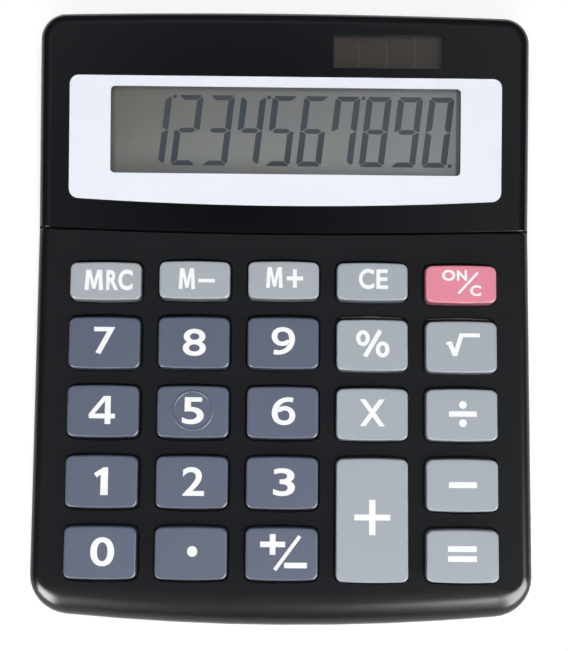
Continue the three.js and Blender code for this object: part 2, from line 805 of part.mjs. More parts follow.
function makeMat() {
  const width = (columnCount - 1) * keyPitchX + keyWidth + 2 * matMargin;
  const front = lastRowY - keyDepth / 2 - keyFlangeReach - matMargin;
  const rear = topRowY + smallKeyDepth / 2 + topRowBow + keyFlangeReach + matMargin;
  const outline = bowedOutline(width, rear - front, matCorner, 0);
  outline.forEach((p) => p.add(new THREE.Vector2(0, (front + rear) / 2)));
  const sheet = prism(new THREE.Shape(outline), matLow, matTop);
  const cone = (key, low, lowRadius, high, highRadius) => {
    const geometry = new THREE.CylinderGeometry(highRadius, lowRadius, high - low, domeSides);
    return solidOf(geometry.rotateX(Math.PI / 2).translate(key.x, key.y, (low + high) / 2));
  };
  const innerRadius = domeRadius - domeWall / 2;
  const innerTopRadius = domeTopRadius - domeWall / 2;
  const domes = keys.map((key) => cone(key, matTop - matThickness / 2, domeRadius, domeTop, domeTopRadius));
  const hollowTop = domeTop - domeWall;
  const hollows = keys.map((key) => cone(key, matLow - overrun, innerRadius, hollowTop, innerTopRadius));
  const holeRadius = boardBossRadius + bossGap;
  const bossHoles = boardScrews.map(([x, y]) =>
    post(x, y, holeRadius, matLow - overrun, matTop + overrun, levelFrame, smallPostSides),
  );
  return cut(join(sheet, ...domes), ...hollows, ...bossHoles);
}

function makeBoard() {
  const outline = bowedOutline(2 * boardHalfWidth, boardRearY - boardFrontY, boardCorner, 0);
  outline.forEach((p) => p.add(new THREE.Vector2(0, (boardRearY + boardFrontY) / 2)));
  const holeRadius = boardShankRadius + screwHoleSlack;
  const holes = boardScrews.map(([x, y]) =>
    post(x, y, holeRadius, boardLow - overrun, boardTop + overrun, levelFrame, smallPostSides),
  );
  return cut(prism(new THREE.Shape(outline), boardLow, boardTop), ...holes);
}

function makeChip() {
  const profile = [new THREE.Vector2(0, -chipHeight)];
  for (let i = 1; i <= chipSteps; i++) {
    const angle = ((Math.PI / 2) * i) / chipSteps;
    profile.push(new THREE.Vector2(chipRadius * Math.sin(angle), -chipHeight * Math.cos(angle)));
  }
  profile.push(new THREE.Vector2(0, 0));
  return solidOf(new THREE.LatheGeometry(profile, postSides).rotateX(Math.PI / 2));
}

// A pan-head screw that is driven upwards: its head lies below zero and its shank above
function makeScrew(shankRadius, length) {
  const profile = [
    new THREE.Vector2(0, -screwHeadThickness),
    new THREE.Vector2(screwHeadRadius - screwHeadChamfer, -screwHeadThickness),
    new THREE.Vector2(screwHeadRadius, screwHeadChamfer - screwHeadThickness),
    new THREE.Vector2(screwHeadRadius, 0),
    new THREE.Vector2(shankRadius, 0),
    new THREE.Vector2(shankRadius, length - shankRadius),
    new THREE.Vector2(0, length),
  ];
  const screw = solidOf(new THREE.LatheGeometry(profile, smallPostSides).rotateX(Math.PI / 2));
  const low = -screwHeadThickness - overrun;
  const high = driveDepth - screwHeadThickness;
  const long = driveLength / 2;
  const narrow = driveWidth / 2;
  const slotAcross = block(-long, long, -narrow, narrow, low, high);
  const slotAlong = block(-narrow, narrow, -long, long, low, high);
  return cut(screw, slotAcross, slotAlong);
}

function makeFoot() {
  const profile = [
    new THREE.Vector2(0, 0),
    new THREE.Vector2(footRadius - footChamfer, 0),
    new THREE.Vector2(footRadius, footChamfer),
    new THREE.Vector2(footRadius, footThickness),
    new THREE.Vector2(0, footThickness),
  ];
  return solidOf(new THREE.LatheGeometry(profile, discSides).rotateX(Math.PI / 2));
}

function makeCell() {
  const profile = [
    new THREE.Vector2(0, 0),
    new THREE.Vector2(cellRadius - cellRimChamfer, 0),
    new THREE.Vector2(cellRadius, cellRimChamfer),
    new THREE.Vector2(cellRadius, cellHeight - cellRimChamfer),
    new THREE.Vector2(cellRadius - cellRimChamfer, cellHeight),
    new THREE.Vector2(0, cellHeight),
  ];
  return solidOf(new THREE.LatheGeometry(profile, discSides).rotateX(Math.PI / 2));
}

// A thin bent strip: an outline in Y and Z, made as wide as asked along X
function makeStrip(points, width) {
  const shape = new THREE.Shape(points.map(([y, z]) => new THREE.Vector2(y, z)));
  const geometry = new THREE.ExtrudeGeometry(shape, { depth: width, bevelEnabled: false });
  geometry.translate(0, 0, -width / 2);
  const turn = new THREE.Matrix4().makeBasis(
    new THREE.Vector3(0, 1, 0),
    new THREE.Vector3(0, 0, 1),
    new THREE.Vector3(1, 0, 0),
  );
  return solidOf(geometry.applyMatrix4(turn));
}

function makePlusContact() {
  const plusStripLow = cellLow + plusStripFoot;
  const plusStripTop = plusStripLow + plusStripHeight;
  const face = cellY - cellRadius - stripGap;
  const back = face - stripThickness;
  return makeStrip(
    [
      [stripTailY, plusTailHeight],
      [back, plusTailHeight],
      [back, plusStripLow],
      [face, plusStripLow],
      [face, plusStripTop],
      [back, plusStripTop],
      [back, plusTailHeight + stripThickness],
      [stripTailY, plusTailHeight + stripThickness],
    ],
    stripWidth,
  );
}

function makeMinusContact() {
  const high = minusStripLow + stripThickness;
  return makeStrip(
    [
      [stripTailY, minusStripLow],
      [cellY, minusStripLow],
      [cellY, high],
      [stripTailY, high],
    ],
    stripWidth,
  );
}

// A place in a tilted frame, as Y and Z of the body
function toYZ(frame, y, height) {
  const sine = Math.sin(frame.tilt);
  const cosine = Math.cos(frame.tilt);
  return [frame.y + y * cosine - height * sine, frame.z + y * sine + height * cosine];
}

// The ribbon's middle line in Y and Z: flat on the board's rear edge, then up to the glass's contact ledge
function makeRibbon() {
  const half = ribbonThickness / 2;
  const onBoard = (y, height) => toYZ(deckFrame, y, height);
  const underGlass = (y, height) => toYZ(displayFrame, y, height);
  const boardHeight = boardTop + laminateGap + half;
  const glassHeight = lcdTop - lcdGlass - laminateGap - half;
  const glassFront = windowCentre - lcdDepth / 2;
  const line = [
    onBoard(boardRearY - ribbonBond, boardHeight),
    onBoard(boardRearY, boardHeight),
    underGlass(glassFront, glassHeight),
    underGlass(glassFront + ribbonBond, glassHeight),
  ];
  const upper = line.map(([y, z]) => [y, z + half]);
  const lower = line.map(([y, z]) => [y, z - half]);
  return makeStrip([...lower, ...upper.reverse()], ribbonWidth);
}

// The wires' routes, laid by hand: from the contacts or the solar cell to the board's rear edge
const wireRoutes = {
  battery_wire_plus: [
    [-25.2, 36.6, 5.95],
    [-25.6, 34, 6],
    [-27, 28, 6.6],
    [-28, 24, 8.6],
    [-28, 21.6, 9.5],
    [-28, 18.6, 9.45],
  ],
  battery_wire_minus: [
    [-23, 36.8, 9.8],
    [-23, 34.8, 9.6],
    [-23.6, 31, 8.8],
    [-24.4, 26, 9.1],
    [-24.6, 22, 9.5],
    [-24.6, 18.6, 9.45],
  ],
  solar_wire_plus: [
    [26, 57, 15.4],
    [26, 54.6, 14.2],
    [26.4, 50, 11.8],
    [27, 38, 9.4],
    [27.6, 28, 8.9],
    [28, 22, 9.5],
    [28, 18.6, 9.45],
  ],
  solar_wire_minus: [
    [17, 57, 15.4],
    [17, 54.6, 14.2],
    [18, 50, 11.8],
    [21, 38, 9.4],
    [24, 28, 8.9],
    [24.6, 22, 9.5],
    [24.6, 18.6, 9.45],
  ],
};

// A thin insulated wire along its route
function makeWire(points, steps) {
  const path = new THREE.CatmullRomCurve3(points.map(([x, y, z]) => new THREE.Vector3(x, y, z)));
  const section = new THREE.Shape(
    Array.from({ length: wireSides }, (_, i) => {
      const angle = (2 * Math.PI * i) / wireSides;
      return new THREE.Vector2(wireRadius * Math.cos(angle), wireRadius * Math.sin(angle));
    }),
  );
  return solidOf(new THREE.ExtrudeGeometry(section, { steps, extrudePath: path, bevelEnabled: false }));
}

function addPiece(group, name, solid, material, x = 0, y = 0, z = 0) {
  const mesh = new THREE.Mesh(geometryOf(solid), material);
  mesh.name = name;
  mesh.position.set(x, y, z);
  group.add(mesh);
  return mesh;
}

function tiltedGroup(frame) {
  const group = new THREE.Group();
  group.position.set(0, frame.y, frame.z);
  group.rotation.x = frame.tilt;
  return group;
}

function addKeypad(deck) {
  keys.forEach((key) => {
    const cap = makeKey(key.depth, key.name === markedKey);
    addPiece(deck, "key_" + key.name, cap, materials[key.finish], key.x, key.y);
  });
  addPiece(deck, "key_mat", makeMat(), materials.mat);
  addPiece(deck, "circuit_board", makeBoard(), materials.board);
  addPiece(deck, "chip_blob", makeChip(), materials.chip, chipX, chipY, boardLow - boardGap);
  boardScrews.forEach(([x, y], i) => {
    const screw = makeScrew(boardShankRadius, boardScrewLength);
    addPiece(deck, "board_screw_" + (i + 1), screw, materials.steel, x, y, boardLow - boardGap);
  });
}

function addDisplay(display) {
  const halfGlass = lcdWidth / 2;
  const front = windowCentre - lcdDepth / 2;
  const rear = windowCentre + lcdDepth / 2;
  const frontLow = lcdTop - lcdGlass;
  const rearTop = frontLow - laminateGap;
  const rearLow = rearTop - lcdGlass;
  const filmTop = rearLow - laminateGap;
  const ledge = front + lcdContactLedge;
  const frontGlass = block(-halfGlass, halfGlass, front, rear, frontLow, lcdTop);
  const rearGlass = block(-halfGlass, halfGlass, ledge, rear, rearLow, rearTop);
  const filmHalf = halfGlass - reflectorMargin;
  const filmFront = ledge + reflectorMargin;
  const filmRear = rear - reflectorMargin;
  const film = block(-filmHalf, filmHalf, filmFront, filmRear, filmTop - reflectorThickness, filmTop);
  addPiece(display, "lcd_front_glass", frontGlass, materials.glass);
  addPiece(display, "lcd_rear_glass", rearGlass, materials.glass);
  addPiece(display, "lcd_reflector", film, materials.reflector);
  addPiece(display, "solar_cell", makeSolarCell(), materials.solar);
}

function makeSolarCell() {
  const left = solarX - solarWidth / 2 - solarMargin;
  const right = solarX + solarWidth / 2 + solarMargin;
  const along = solarDepth / 2 + solarMargin;
  return block(left, right, solarCentre - along, solarCentre + along, lcdTop - solarGlass, lcdTop);
}

function addPower(root) {
  const cover = makeBatteryCover();
  addPiece(root, "battery_cover", cover, materials.caseBlack);
  addPiece(root, "button_cell", makeCell(), materials.steel, bayX, cellY, cellLow);
  addPiece(root, "battery_contact_plus", makePlusContact(), materials.steel, bayX);
  addPiece(root, "battery_contact_minus", makeMinusContact(), materials.steel, bayX);
  Object.entries(wireRoutes).forEach(([name, route]) => {
    const steps = name.startsWith("solar") ? solarWireSteps : batteryWireSteps;
    const finish = name.endsWith("plus") ? materials.redWire : materials.blackWire;
    addPiece(root, name, makeWire(route, steps), finish);
  });
}

function makeCalculator() {
  const root = new THREE.Group();
  addPiece(root, "top_case", makeTopCase(), materials.caseBlack);
  addPiece(root, "bottom_case", makeBottomCase(), materials.caseBlack);
  addPiece(root, "display_panel", makePanel(), materials.panelBlack);
  const deck = tiltedGroup(deckFrame);
  addKeypad(deck);
  const display = tiltedGroup(displayFrame);
  addDisplay(display);
  root.add(deck, display);
  addPiece(root, "lcd_ribbon", makeRibbon(), materials.ribbon);
  addPower(root);
  caseScrews.forEach((s) => {
    const screw = makeScrew(caseShankRadius, caseScrewLength);
    addPiece(root, "case_screw_" + s.side, screw, materials.steel, s.x, s.y, s.seat - seatWall);
  });
  feet.forEach((foot) => addPiece(root, "foot_" + foot.side, makeFoot(), materials.rubber, foot.x, foot.y));
  return root;
}

export default makeCalculator();
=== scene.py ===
# A desktop calculator, dressed for its picture on a pale table.
# Metres, X to the right, Y to the rear, Z up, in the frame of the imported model.
import math

import bmesh
import bpy
from mathutils import Matrix, Vector


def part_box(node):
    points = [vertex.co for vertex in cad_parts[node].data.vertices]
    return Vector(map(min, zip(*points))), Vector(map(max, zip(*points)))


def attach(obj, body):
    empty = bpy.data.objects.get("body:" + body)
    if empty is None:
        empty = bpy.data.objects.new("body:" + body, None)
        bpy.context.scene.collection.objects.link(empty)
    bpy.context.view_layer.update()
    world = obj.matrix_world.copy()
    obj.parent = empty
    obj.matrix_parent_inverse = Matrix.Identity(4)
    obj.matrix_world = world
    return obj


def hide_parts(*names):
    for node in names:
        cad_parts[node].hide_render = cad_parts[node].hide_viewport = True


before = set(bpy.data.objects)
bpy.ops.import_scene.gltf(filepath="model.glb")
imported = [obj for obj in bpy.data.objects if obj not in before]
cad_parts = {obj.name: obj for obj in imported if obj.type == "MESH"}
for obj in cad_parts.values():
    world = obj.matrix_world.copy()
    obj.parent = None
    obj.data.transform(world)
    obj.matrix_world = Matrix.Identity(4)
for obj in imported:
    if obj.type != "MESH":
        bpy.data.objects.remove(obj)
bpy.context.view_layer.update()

MM = 0.001

# The two sloping planes: the deck through the body's middle, the display panel from the seam
DECK_TILT = math.radians(3.5)
DISPLAY_TILT = math.radians(10.9)
DECK_HEIGHT = 12.5 * MM
SEAM_Y = 17.699 * MM
SEAM_HEIGHT = 13.5825 * MM
DECK = Matrix.Translation((0, 0, DECK_HEIGHT)) @ Matrix.Rotation(DECK_TILT, 4, "X")
DISPLAY = Matrix.Translation((0, SEAM_Y, SEAM_HEIGHT)) @ Matrix.Rotation(DISPLAY_TILT, 4, "X")

# The keys' grid on the deck, and the shape of a keycap
KEY_PITCH_X = 18.56 * MM
KEY_PITCH_Y = 14.55 * MM
TOP_ROW = 6.762 * MM
SECOND_ROW = -6.148 * MM
TOP_ROW_BOW = 0.5 * MM
SECOND_ROW_BOW = 0.25 * MM
MIDDLE_COLUMN = 2
KEY_WIDTH = 14.8 * MM
KEY_DEPTH = 10.85 * MM
SMALL_KEY_DEPTH = 8.1 * MM
TALL_KEY_DEPTH = KEY_DEPTH + KEY_PITCH_Y
KEY_HEIGHT = 3.2 * MM
KEY_EDGE_BOW = 0.25 * MM
KEY_CORNER = 1.3 * MM
KEY_REAR_DRAFT = 0.55 * MM
KEY_FILLET = 0.38 * MM
KEY_WALL = 1.3 * MM
FLANGE_TOP = -2.05 * MM
FLANGE_LOW = -2.85 * MM
FLANGE_REACH = 0.6 * MM
STEM_RADIUS = 2 * MM
STEM_EDGE = 0.25 * MM
BOW_CUTS = 9
# The coloured cap ends at its foot, and the black skirt begins one joint below it; the skirt's black is
# painted shade for the gap round each key
CAP_FOOT = -0.55 * MM
FOOT_JOINT = 0.02 * MM
# The raised ring on the middle key, flattened and cut off just under the key's top
RING_RADIUS = 4 * MM
RING_THICKNESS = 0.23 * MM
RING_FLATNESS = 0.75
RING_FOOT = -0.03 * MM

# The panel, its windows and its printed frame, along the slope from the seam
BODY_WIDTH = 104 * MM
PANEL_REAR = 46.75 * MM
PANEL_FRONT_MIDDLE = -0.2 * MM
PANEL_FRONT_BOW = 1 * MM
PANEL_REAR_BOW = 0.75 * MM
PANEL_CUTS = 15
PANEL_THICKNESS = 2 * MM
PANEL_SPARE = 0.6 * MM
PANEL_ROUND = 2.5 * MM
PANEL_CORNER = 5.3 * MM
PANEL_FRONT_EDGE = 0.1 * MM
PRINT_SHIFT = 0.2 * MM
WINDOW_WIDTH = 74.2 * MM
WINDOW_LOW = 12.25 * MM
WINDOW_HIGH = 30.65 * MM
WINDOW_CORNER = 0.9 * MM
WINDOW_UNDERCUT = 0.7 * MM
FRAME_WIDTH = 91.6 * MM
FRAME_LOW = 6.9 * MM
FRAME_HIGH = 32.9 * MM
FRAME_BOW = 1.35 * MM
FRAME_CORNER = 1.9 * MM
SOLAR_X = 21.7 * MM
SOLAR_WIDTH = 22.9 * MM
SOLAR_LOW = 34.95 * MM
SOLAR_HIGH = 41.95 * MM
SOLAR_CORNER = 0.3 * MM
CUT_RISE = 0.3 * MM
PANE_THICKNESS = 0.8 * MM
PANE_RECESS = 0.01 * MM
INK = 0.02 * MM
# The black tape that holds the panel, seen only down the slot at the seam, where its black is painted
# shade
TAPE_FRONT_MIDDLE = -0.63 * MM
TAPE_REAR = 4 * MM
TAPE_INSET = 1.5 * MM
TAPE_LOW = -2.24 * MM
TAPE_HIGH = -2.02 * MM
TAPE_EDGE = 0.03 * MM
# How far the rims of the key holes are broken
HOLE_EDGE = 0.08 * MM

# The liquid crystal cell, in the same slope, and its numerals
LCD_TOP = -3.8 * MM
POLARISER_THICKNESS = 0.1 * MM
POLARISER_LIFT = 0.005 * MM
POLARISER_MARGIN = 0.7 * MM
POLARISER_CORNER = 0.4 * MM
POLARISER_EDGE = 0.03 * MM
# The border tape's opening lies off the window's left, right, low and high side; the strips it leaves
# at the display's left and right edges are painted shade from the window's walls
BORDER_SHIFTS = (0.75 * MM, -0.6 * MM, -0.1 * MM, 0.45 * MM)
BORDER_CORNER = 0.5 * MM
BORDER_LOW = 0.003 * MM
BORDER_HIGH = 0.04 * MM
NUMERAL_TOP = 28.85 * MM
NUMERAL_BOTTOM = 14.87 * MM
NUMERAL_WIDTH = 4.03 * MM
NUMERAL_PITCH = 6.72 * MM
FIRST_NUMERAL_X = -32.15 * MM
NUMERAL_SLANT = 0.115
UPRIGHT_HALF = 0.67 * MM
LEVEL_HALF = 0.53 * MM
BAR_GAP = 0.1 * MM
BAR_THICKNESS = 0.01 * MM
BAR_LIFT = 0.012 * MM
# The thousands marks and the point, to the right of their numerals
MARK_RADIUS = 0.42 * MM
MARK_SIDES = 12
MARK_ACROSS = 1.25 * MM
MARK_UP = 0.2 * MM
POINT_ACROSS = 1.35 * MM
POINT_DOWN = 0.15 * MM

# The solar cell's glass and its fields
SOLAR_MARGIN = 0.9 * MM
SOLAR_THICKNESS = 1 * MM
SOLAR_DROP = 0.02 * MM
SOLAR_EDGE = 0.1 * MM
FIELD_COUNT = 4
FIELD_GAP = 0.16 * MM
FIELD_INSET = 0.3 * MM
FIELD_LOW = 0.002 * MM
FIELD_HIGH = 0.018 * MM

# The feet and the cross-head screws
CORNERS = ("front_left", "front_right", "rear_left", "rear_right")
FOOT_EDGE = 0.35 * MM
FOOT_RIM = 0.9 * MM
FOOT_STEP = 0.25 * MM
HEAD_RADIUS = 1.8 * MM
HEAD_HEIGHT = 0.85 * MM
HEAD_EDGE = 0.35 * MM
SHANK_RADIUS = 1.1 * MM
TIP_SHARE = 0.15
CROSS_REACH = 1.1 * MM
CROSS_HALF = 0.28 * MM
CROSS_DEPTH = 0.5 * MM
CROSS_START = -0.1 * MM
CROSS_TAPER = 0.7

# Colours as they look on the real one, in sRGB
CASE_BLACK = "#080b10"
PANEL_BLACK = "#0a0c12"
DIGIT_BLUE = "#525b71"
LIGHT_GREY = "#a3abb4"
MEMORY_GREY = "#abb2b9"
ON_PINK = "#ea8aa0"
PRINT_WHITE = "#fefefe"
FRAME_WHITE = "#f2f6ff"


def linear(hex_colour):
    """An sRGB hex colour as the linear colour that a shader wants."""
    channels = [int(hex_colour[i:i + 2], 16) / 255 for i in (1, 3, 5)]
    return [c / 12.92 if c <= 0.04045 else ((c + 0.055) / 1.055) ** 2.4 for c in channels] + [1]


# Modelling helpers


def only(piece):
    """Selects one piece alone and makes it the active one."""
    if bpy.context.object and bpy.context.object.mode != "OBJECT":
        bpy.ops.object.mode_set(mode="OBJECT")
    bpy.ops.object.select_all(action="DESELECT")
    piece.select_set(True)
    bpy.context.view_layer.objects.active = piece


def edit(piece):
    only(piece)
    bpy.ops.object.mode_set(mode="EDIT")


def leave():
    bpy.ops.object.mode_set(mode="OBJECT")


def pick(piece, kind, wanted):
    """In edit mode, selects the corners, edges or faces that a test wants, by middle and direction."""
    bpy.ops.mesh.select_mode(type=kind)
    bpy.ops.mesh.select_all(action="DESELECT")
    shape = bmesh.from_edit_mesh(piece.data)
    count = 0
    for part in {"VERT": shape.verts, "EDGE": shape.edges, "FACE": shape.faces}[kind]:
        if kind == "VERT":
            chosen = wanted(part.co)
        elif kind == "EDGE":
            first, second = (v.co for v in part.verts)
            chosen = wanted((first + second) / 2, (second - first).normalized())
        else:
            chosen = wanted(part.calc_center_median(), part.normal)
        if chosen:
            part.select_set(True)
            count += 1
    shape.select_flush_mode()
    bmesh.update_edit_mesh(piece.data)
    return count


def near(a, b, slack=0.01 * MM):
    return abs(a - b) < slack


def pick_level(piece, height):
    """In edit mode, selects the edges whose middles lie at one height."""
    pick(piece, "EDGE", lambda middle, way: near(middle.z, height))


def pick_facing(piece, side):
    """In edit mode, selects the faces that look down (-1) or up (1)."""
    pick(piece, "FACE", lambda middle, way: way.z * side > 0.99)


def bevel(width, segments, clamp=False):
    bpy.ops.mesh.bevel(offset=width, segments=segments, affect="EDGES", clamp_overlap=clamp)


def resize(shares, middle=(0, 0, 0)):
    bpy.ops.transform.resize(value=shares, center_override=middle)


def extrude(height):
    bpy.ops.mesh.extrude_region_move(TRANSFORM_OT_translate={"value": (0, 0, height)})


def named(name):
    """Puts a new piece's place and size into its mesh, and names it."""
    bpy.ops.object.transform_apply(location=True, rotation=True, scale=True)
    piece = bpy.context.object
    piece.name = name
    return piece


def block(name, low, high):
    """A box between two corners, as the start of a piece."""
    low, high = Vector(low), Vector(high)
    bpy.ops.object.select_all(action="DESELECT")
    bpy.ops.mesh.primitive_cube_add(size=1, location=(low + high) / 2, scale=high - low)
    return named(name)


def disc(name, x, y, radius, low, high, sides):
    """A round bar, as the start of a piece."""
    bpy.ops.object.select_all(action="DESELECT")
    bpy.ops.mesh.primitive_cylinder_add(
        vertices=sides, radius=radius, depth=high - low, location=(x, y, (low + high) / 2)
    )
    return named(name)


def round_uprights(piece, radius, segments, wanted=lambda middle: True):
    """Rounds the upright corner edges of a piece that is open in edit mode."""
    pick(piece, "EDGE", lambda middle, way: abs(way.z) > 0.99 and wanted(middle))
    bevel(radius, segments)


def bow_edge(piece, side, width, bow, cuts):
    """Cuts the edges along X short, then bows the front (-1) or rear (+1) ones outwards."""
    shape = bmesh.from_edit_mesh(piece.data)
    reach = max(v.co.y * side for v in shape.verts)
    along_x = lambda middle, way: abs(way.x) > 0.99
    if pick(piece, "EDGE", lambda middle, way: along_x(middle, way) and near(middle.x, 0)):
        bpy.ops.mesh.subdivide(number_cuts=cuts)
    for i in range(1, cuts + 1):
        share = 2 * i / (cuts + 1) - 1
        x = share * width / 2
        pick(piece, "VERT", lambda co: near(co.x, x) and co.y * side > reach - 0.01 * MM)
        bpy.ops.transform.translate(value=(0, side * bow * (1 - share * share), 0))


def whole_face(piece, level):
    """Makes the level faces at one height a single face."""
    pick(piece, "FACE", lambda middle, way: near(middle.z, level) and abs(way.z) > 0.99)
    bpy.ops.mesh.dissolve_faces()


def cut_away(piece, tool):
    """Cuts one piece with another and throws the tool away."""
    only(piece)
    modifier = piece.modifiers.new("cut", "BOOLEAN")
    modifier.operation = "DIFFERENCE"
    modifier.solver = "EXACT"
    modifier.object = tool
    bpy.ops.object.modifier_apply(modifier="cut")
    bpy.data.objects.remove(tool)


def join(name, pieces):
    """Makes several pieces one mesh."""
    only(pieces[0])
    for piece in pieces:
        piece.select_set(True)
    bpy.ops.object.join()
    pieces[0].name = name
    return pieces[0]


def smooth(piece, degrees=35, weighted=False):
    only(piece)
    bpy.ops.object.shade_smooth_by_angle(angle=math.radians(degrees))
    if weighted:
        modifier = piece.modifiers.new("normals", "WEIGHTED_NORMAL")
        modifier.keep_sharp = True
        bpy.ops.object.modifier_apply(modifier="normals")


def place(piece, matrix):
    """Puts a finished piece's place into its mesh."""
    piece.matrix_world = matrix @ piece.matrix_world
    only(piece)
    bpy.ops.object.transform_apply(location=True, rotation=True, scale=True)


def copy_of(piece, name):
    twin = bpy.data.objects.new(name, piece.data.copy())
    bpy.context.scene.collection.objects.link(twin)
    return twin


def dress(piece, material, body, replaces=()):
    """Gives a finished piece its material and body, and hides the nodes that it stands for."""
    piece.data.materials.clear()
    piece.data.materials.append(material)
    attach(piece, body)
    if replaces:
        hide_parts(*replaces)
    return piece


# Materials


def add(tree, kind, inputs=None, **settings):
    """Adds one shader node with its settings, its values and its links."""
    made = tree.nodes.new("ShaderNode" + kind)
    for key, value in settings.items():
        setattr(made, key, value)
    for socket, value in (inputs or {}).items():
        if isinstance(value, bpy.types.NodeSocket):
            tree.links.new(value, made.inputs[socket])
        else:
            made.inputs[socket].default_value = value
    return made


def new_material(name):
    material = bpy.data.materials.new(name)
    material.use_nodes = True
    tree = material.node_tree
    tree.nodes.clear()
    return material, tree


def finish_with(tree, shader):
    add(tree, "OutputMaterial", {"Surface": shader.outputs[0]})


def noise(tree, place_on, size, detail):
    """Noise with patches of about one size."""
    return add(tree, "TexNoise", {"Vector": place_on, "Scale": 1 / size, "Detail": detail})


def blend(tree, share, first, second, **settings):
    """The mix of two colours."""
    inputs = {0: share, 6: first, 7: second}
    return add(tree, "Mix", inputs, data_type="RGBA", **settings).outputs[2]


def moulded(name, colour, tone, roughness, grain, grain_depth, drift=12 * MM, ior=1.53, metallic=0):
    """A moulded or coated surface: two close tones that drift, a fine grain and uneven gloss."""
    material, tree = new_material(name)
    place_on = add(tree, "TexCoord").outputs["Object"]
    clouds = noise(tree, place_on, drift, 3.0).outputs["Fac"]
    fine = noise(tree, place_on, grain, 2.0).outputs["Fac"]
    bump = add(tree, "Bump", {"Height": fine, "Distance": grain_depth, "Strength": 1.0})
    limits = {"To Min": roughness * 0.9, "To Max": roughness * 1.1}
    values = {
        "Base Color": blend(tree, clouds, linear(colour), linear(tone)),
        "Roughness": add(tree, "MapRange", {"Value": fine, **limits}).outputs[0],
        "Normal": bump.outputs[0],
        "IOR": ior,
        "Metallic": metallic,
    }
    finish_with(tree, add(tree, "BsdfPrincipled", values))
    return material


def clear_acrylic(name):
    """Polished acrylic: lets the display through and adds a faint mirror that grows towards the rim."""
    material, tree = new_material(name)
    fresnel = add(tree, "Fresnel", {"IOR": 1.49})
    behind = add(tree, "NewGeometry").outputs["Backfacing"]
    outside = add(tree, "Math", {0: 1.0, 1: behind}, operation="SUBTRACT")
    share = add(tree, "Math", {0: fresnel.outputs[0], 1: outside.outputs[0]}, operation="MULTIPLY")
    clear = add(tree, "BsdfTransparent", {"Color": linear("#f9fbfa")})
    mirror = add(tree, "BsdfGlossy", {"Color": linear("#ffffff"), "Roughness": 0.05})
    shader = add(
        tree, "MixShader", {0: share.outputs[0], 1: clear.outputs[0], 2: mirror.outputs[0]}
    )
    finish_with(tree, shader)
    return material


def polariser_film():
    """Grey polarising film: warmer at the left, cooler at the right, faintly clouded. Its paler right
    side is painted light that offsets the shade falling there.
    """
    material, tree = new_material("grey_polarising_film")
    place_on = add(tree, "TexCoord").outputs["Object"]
    across = add(tree, "SeparateXYZ", {0: place_on}).outputs["X"]
    share = add(tree, "MapRange", {"Value": across, "From Min": -36 * MM, "From Max": 36 * MM})
    # Paler towards the right: painted light against the shade on the display's right side
    mottle = blend(tree, share.outputs[0], linear("#736e6a"), linear("#89898f"))
    clouds = noise(tree, place_on, 9 * MM, 4.0)
    tooth = noise(tree, place_on, 0.35 * MM, 2.0)
    for pattern, strength in ((clouds, 0.1), (tooth, 0.06)):
        mottle = blend(tree, strength, mottle, pattern.outputs["Color"], blend_type="SOFT_LIGHT")
    shader = add(tree, "BsdfPrincipled", {"Base Color": mottle, "Roughness": 0.45, "IOR": 1.48})
    finish_with(tree, shader)
    return material


def cap_abs(name, colour, tone):
    return moulded(name, colour, tone, 0.38, 0.25 * MM, 0.004 * MM, 7 * MM)


def metal(name, colour, tone, roughness, grain, grain_depth, drift):
    return moulded(name, colour, tone, roughness, grain, grain_depth, drift, 1.5, 1)


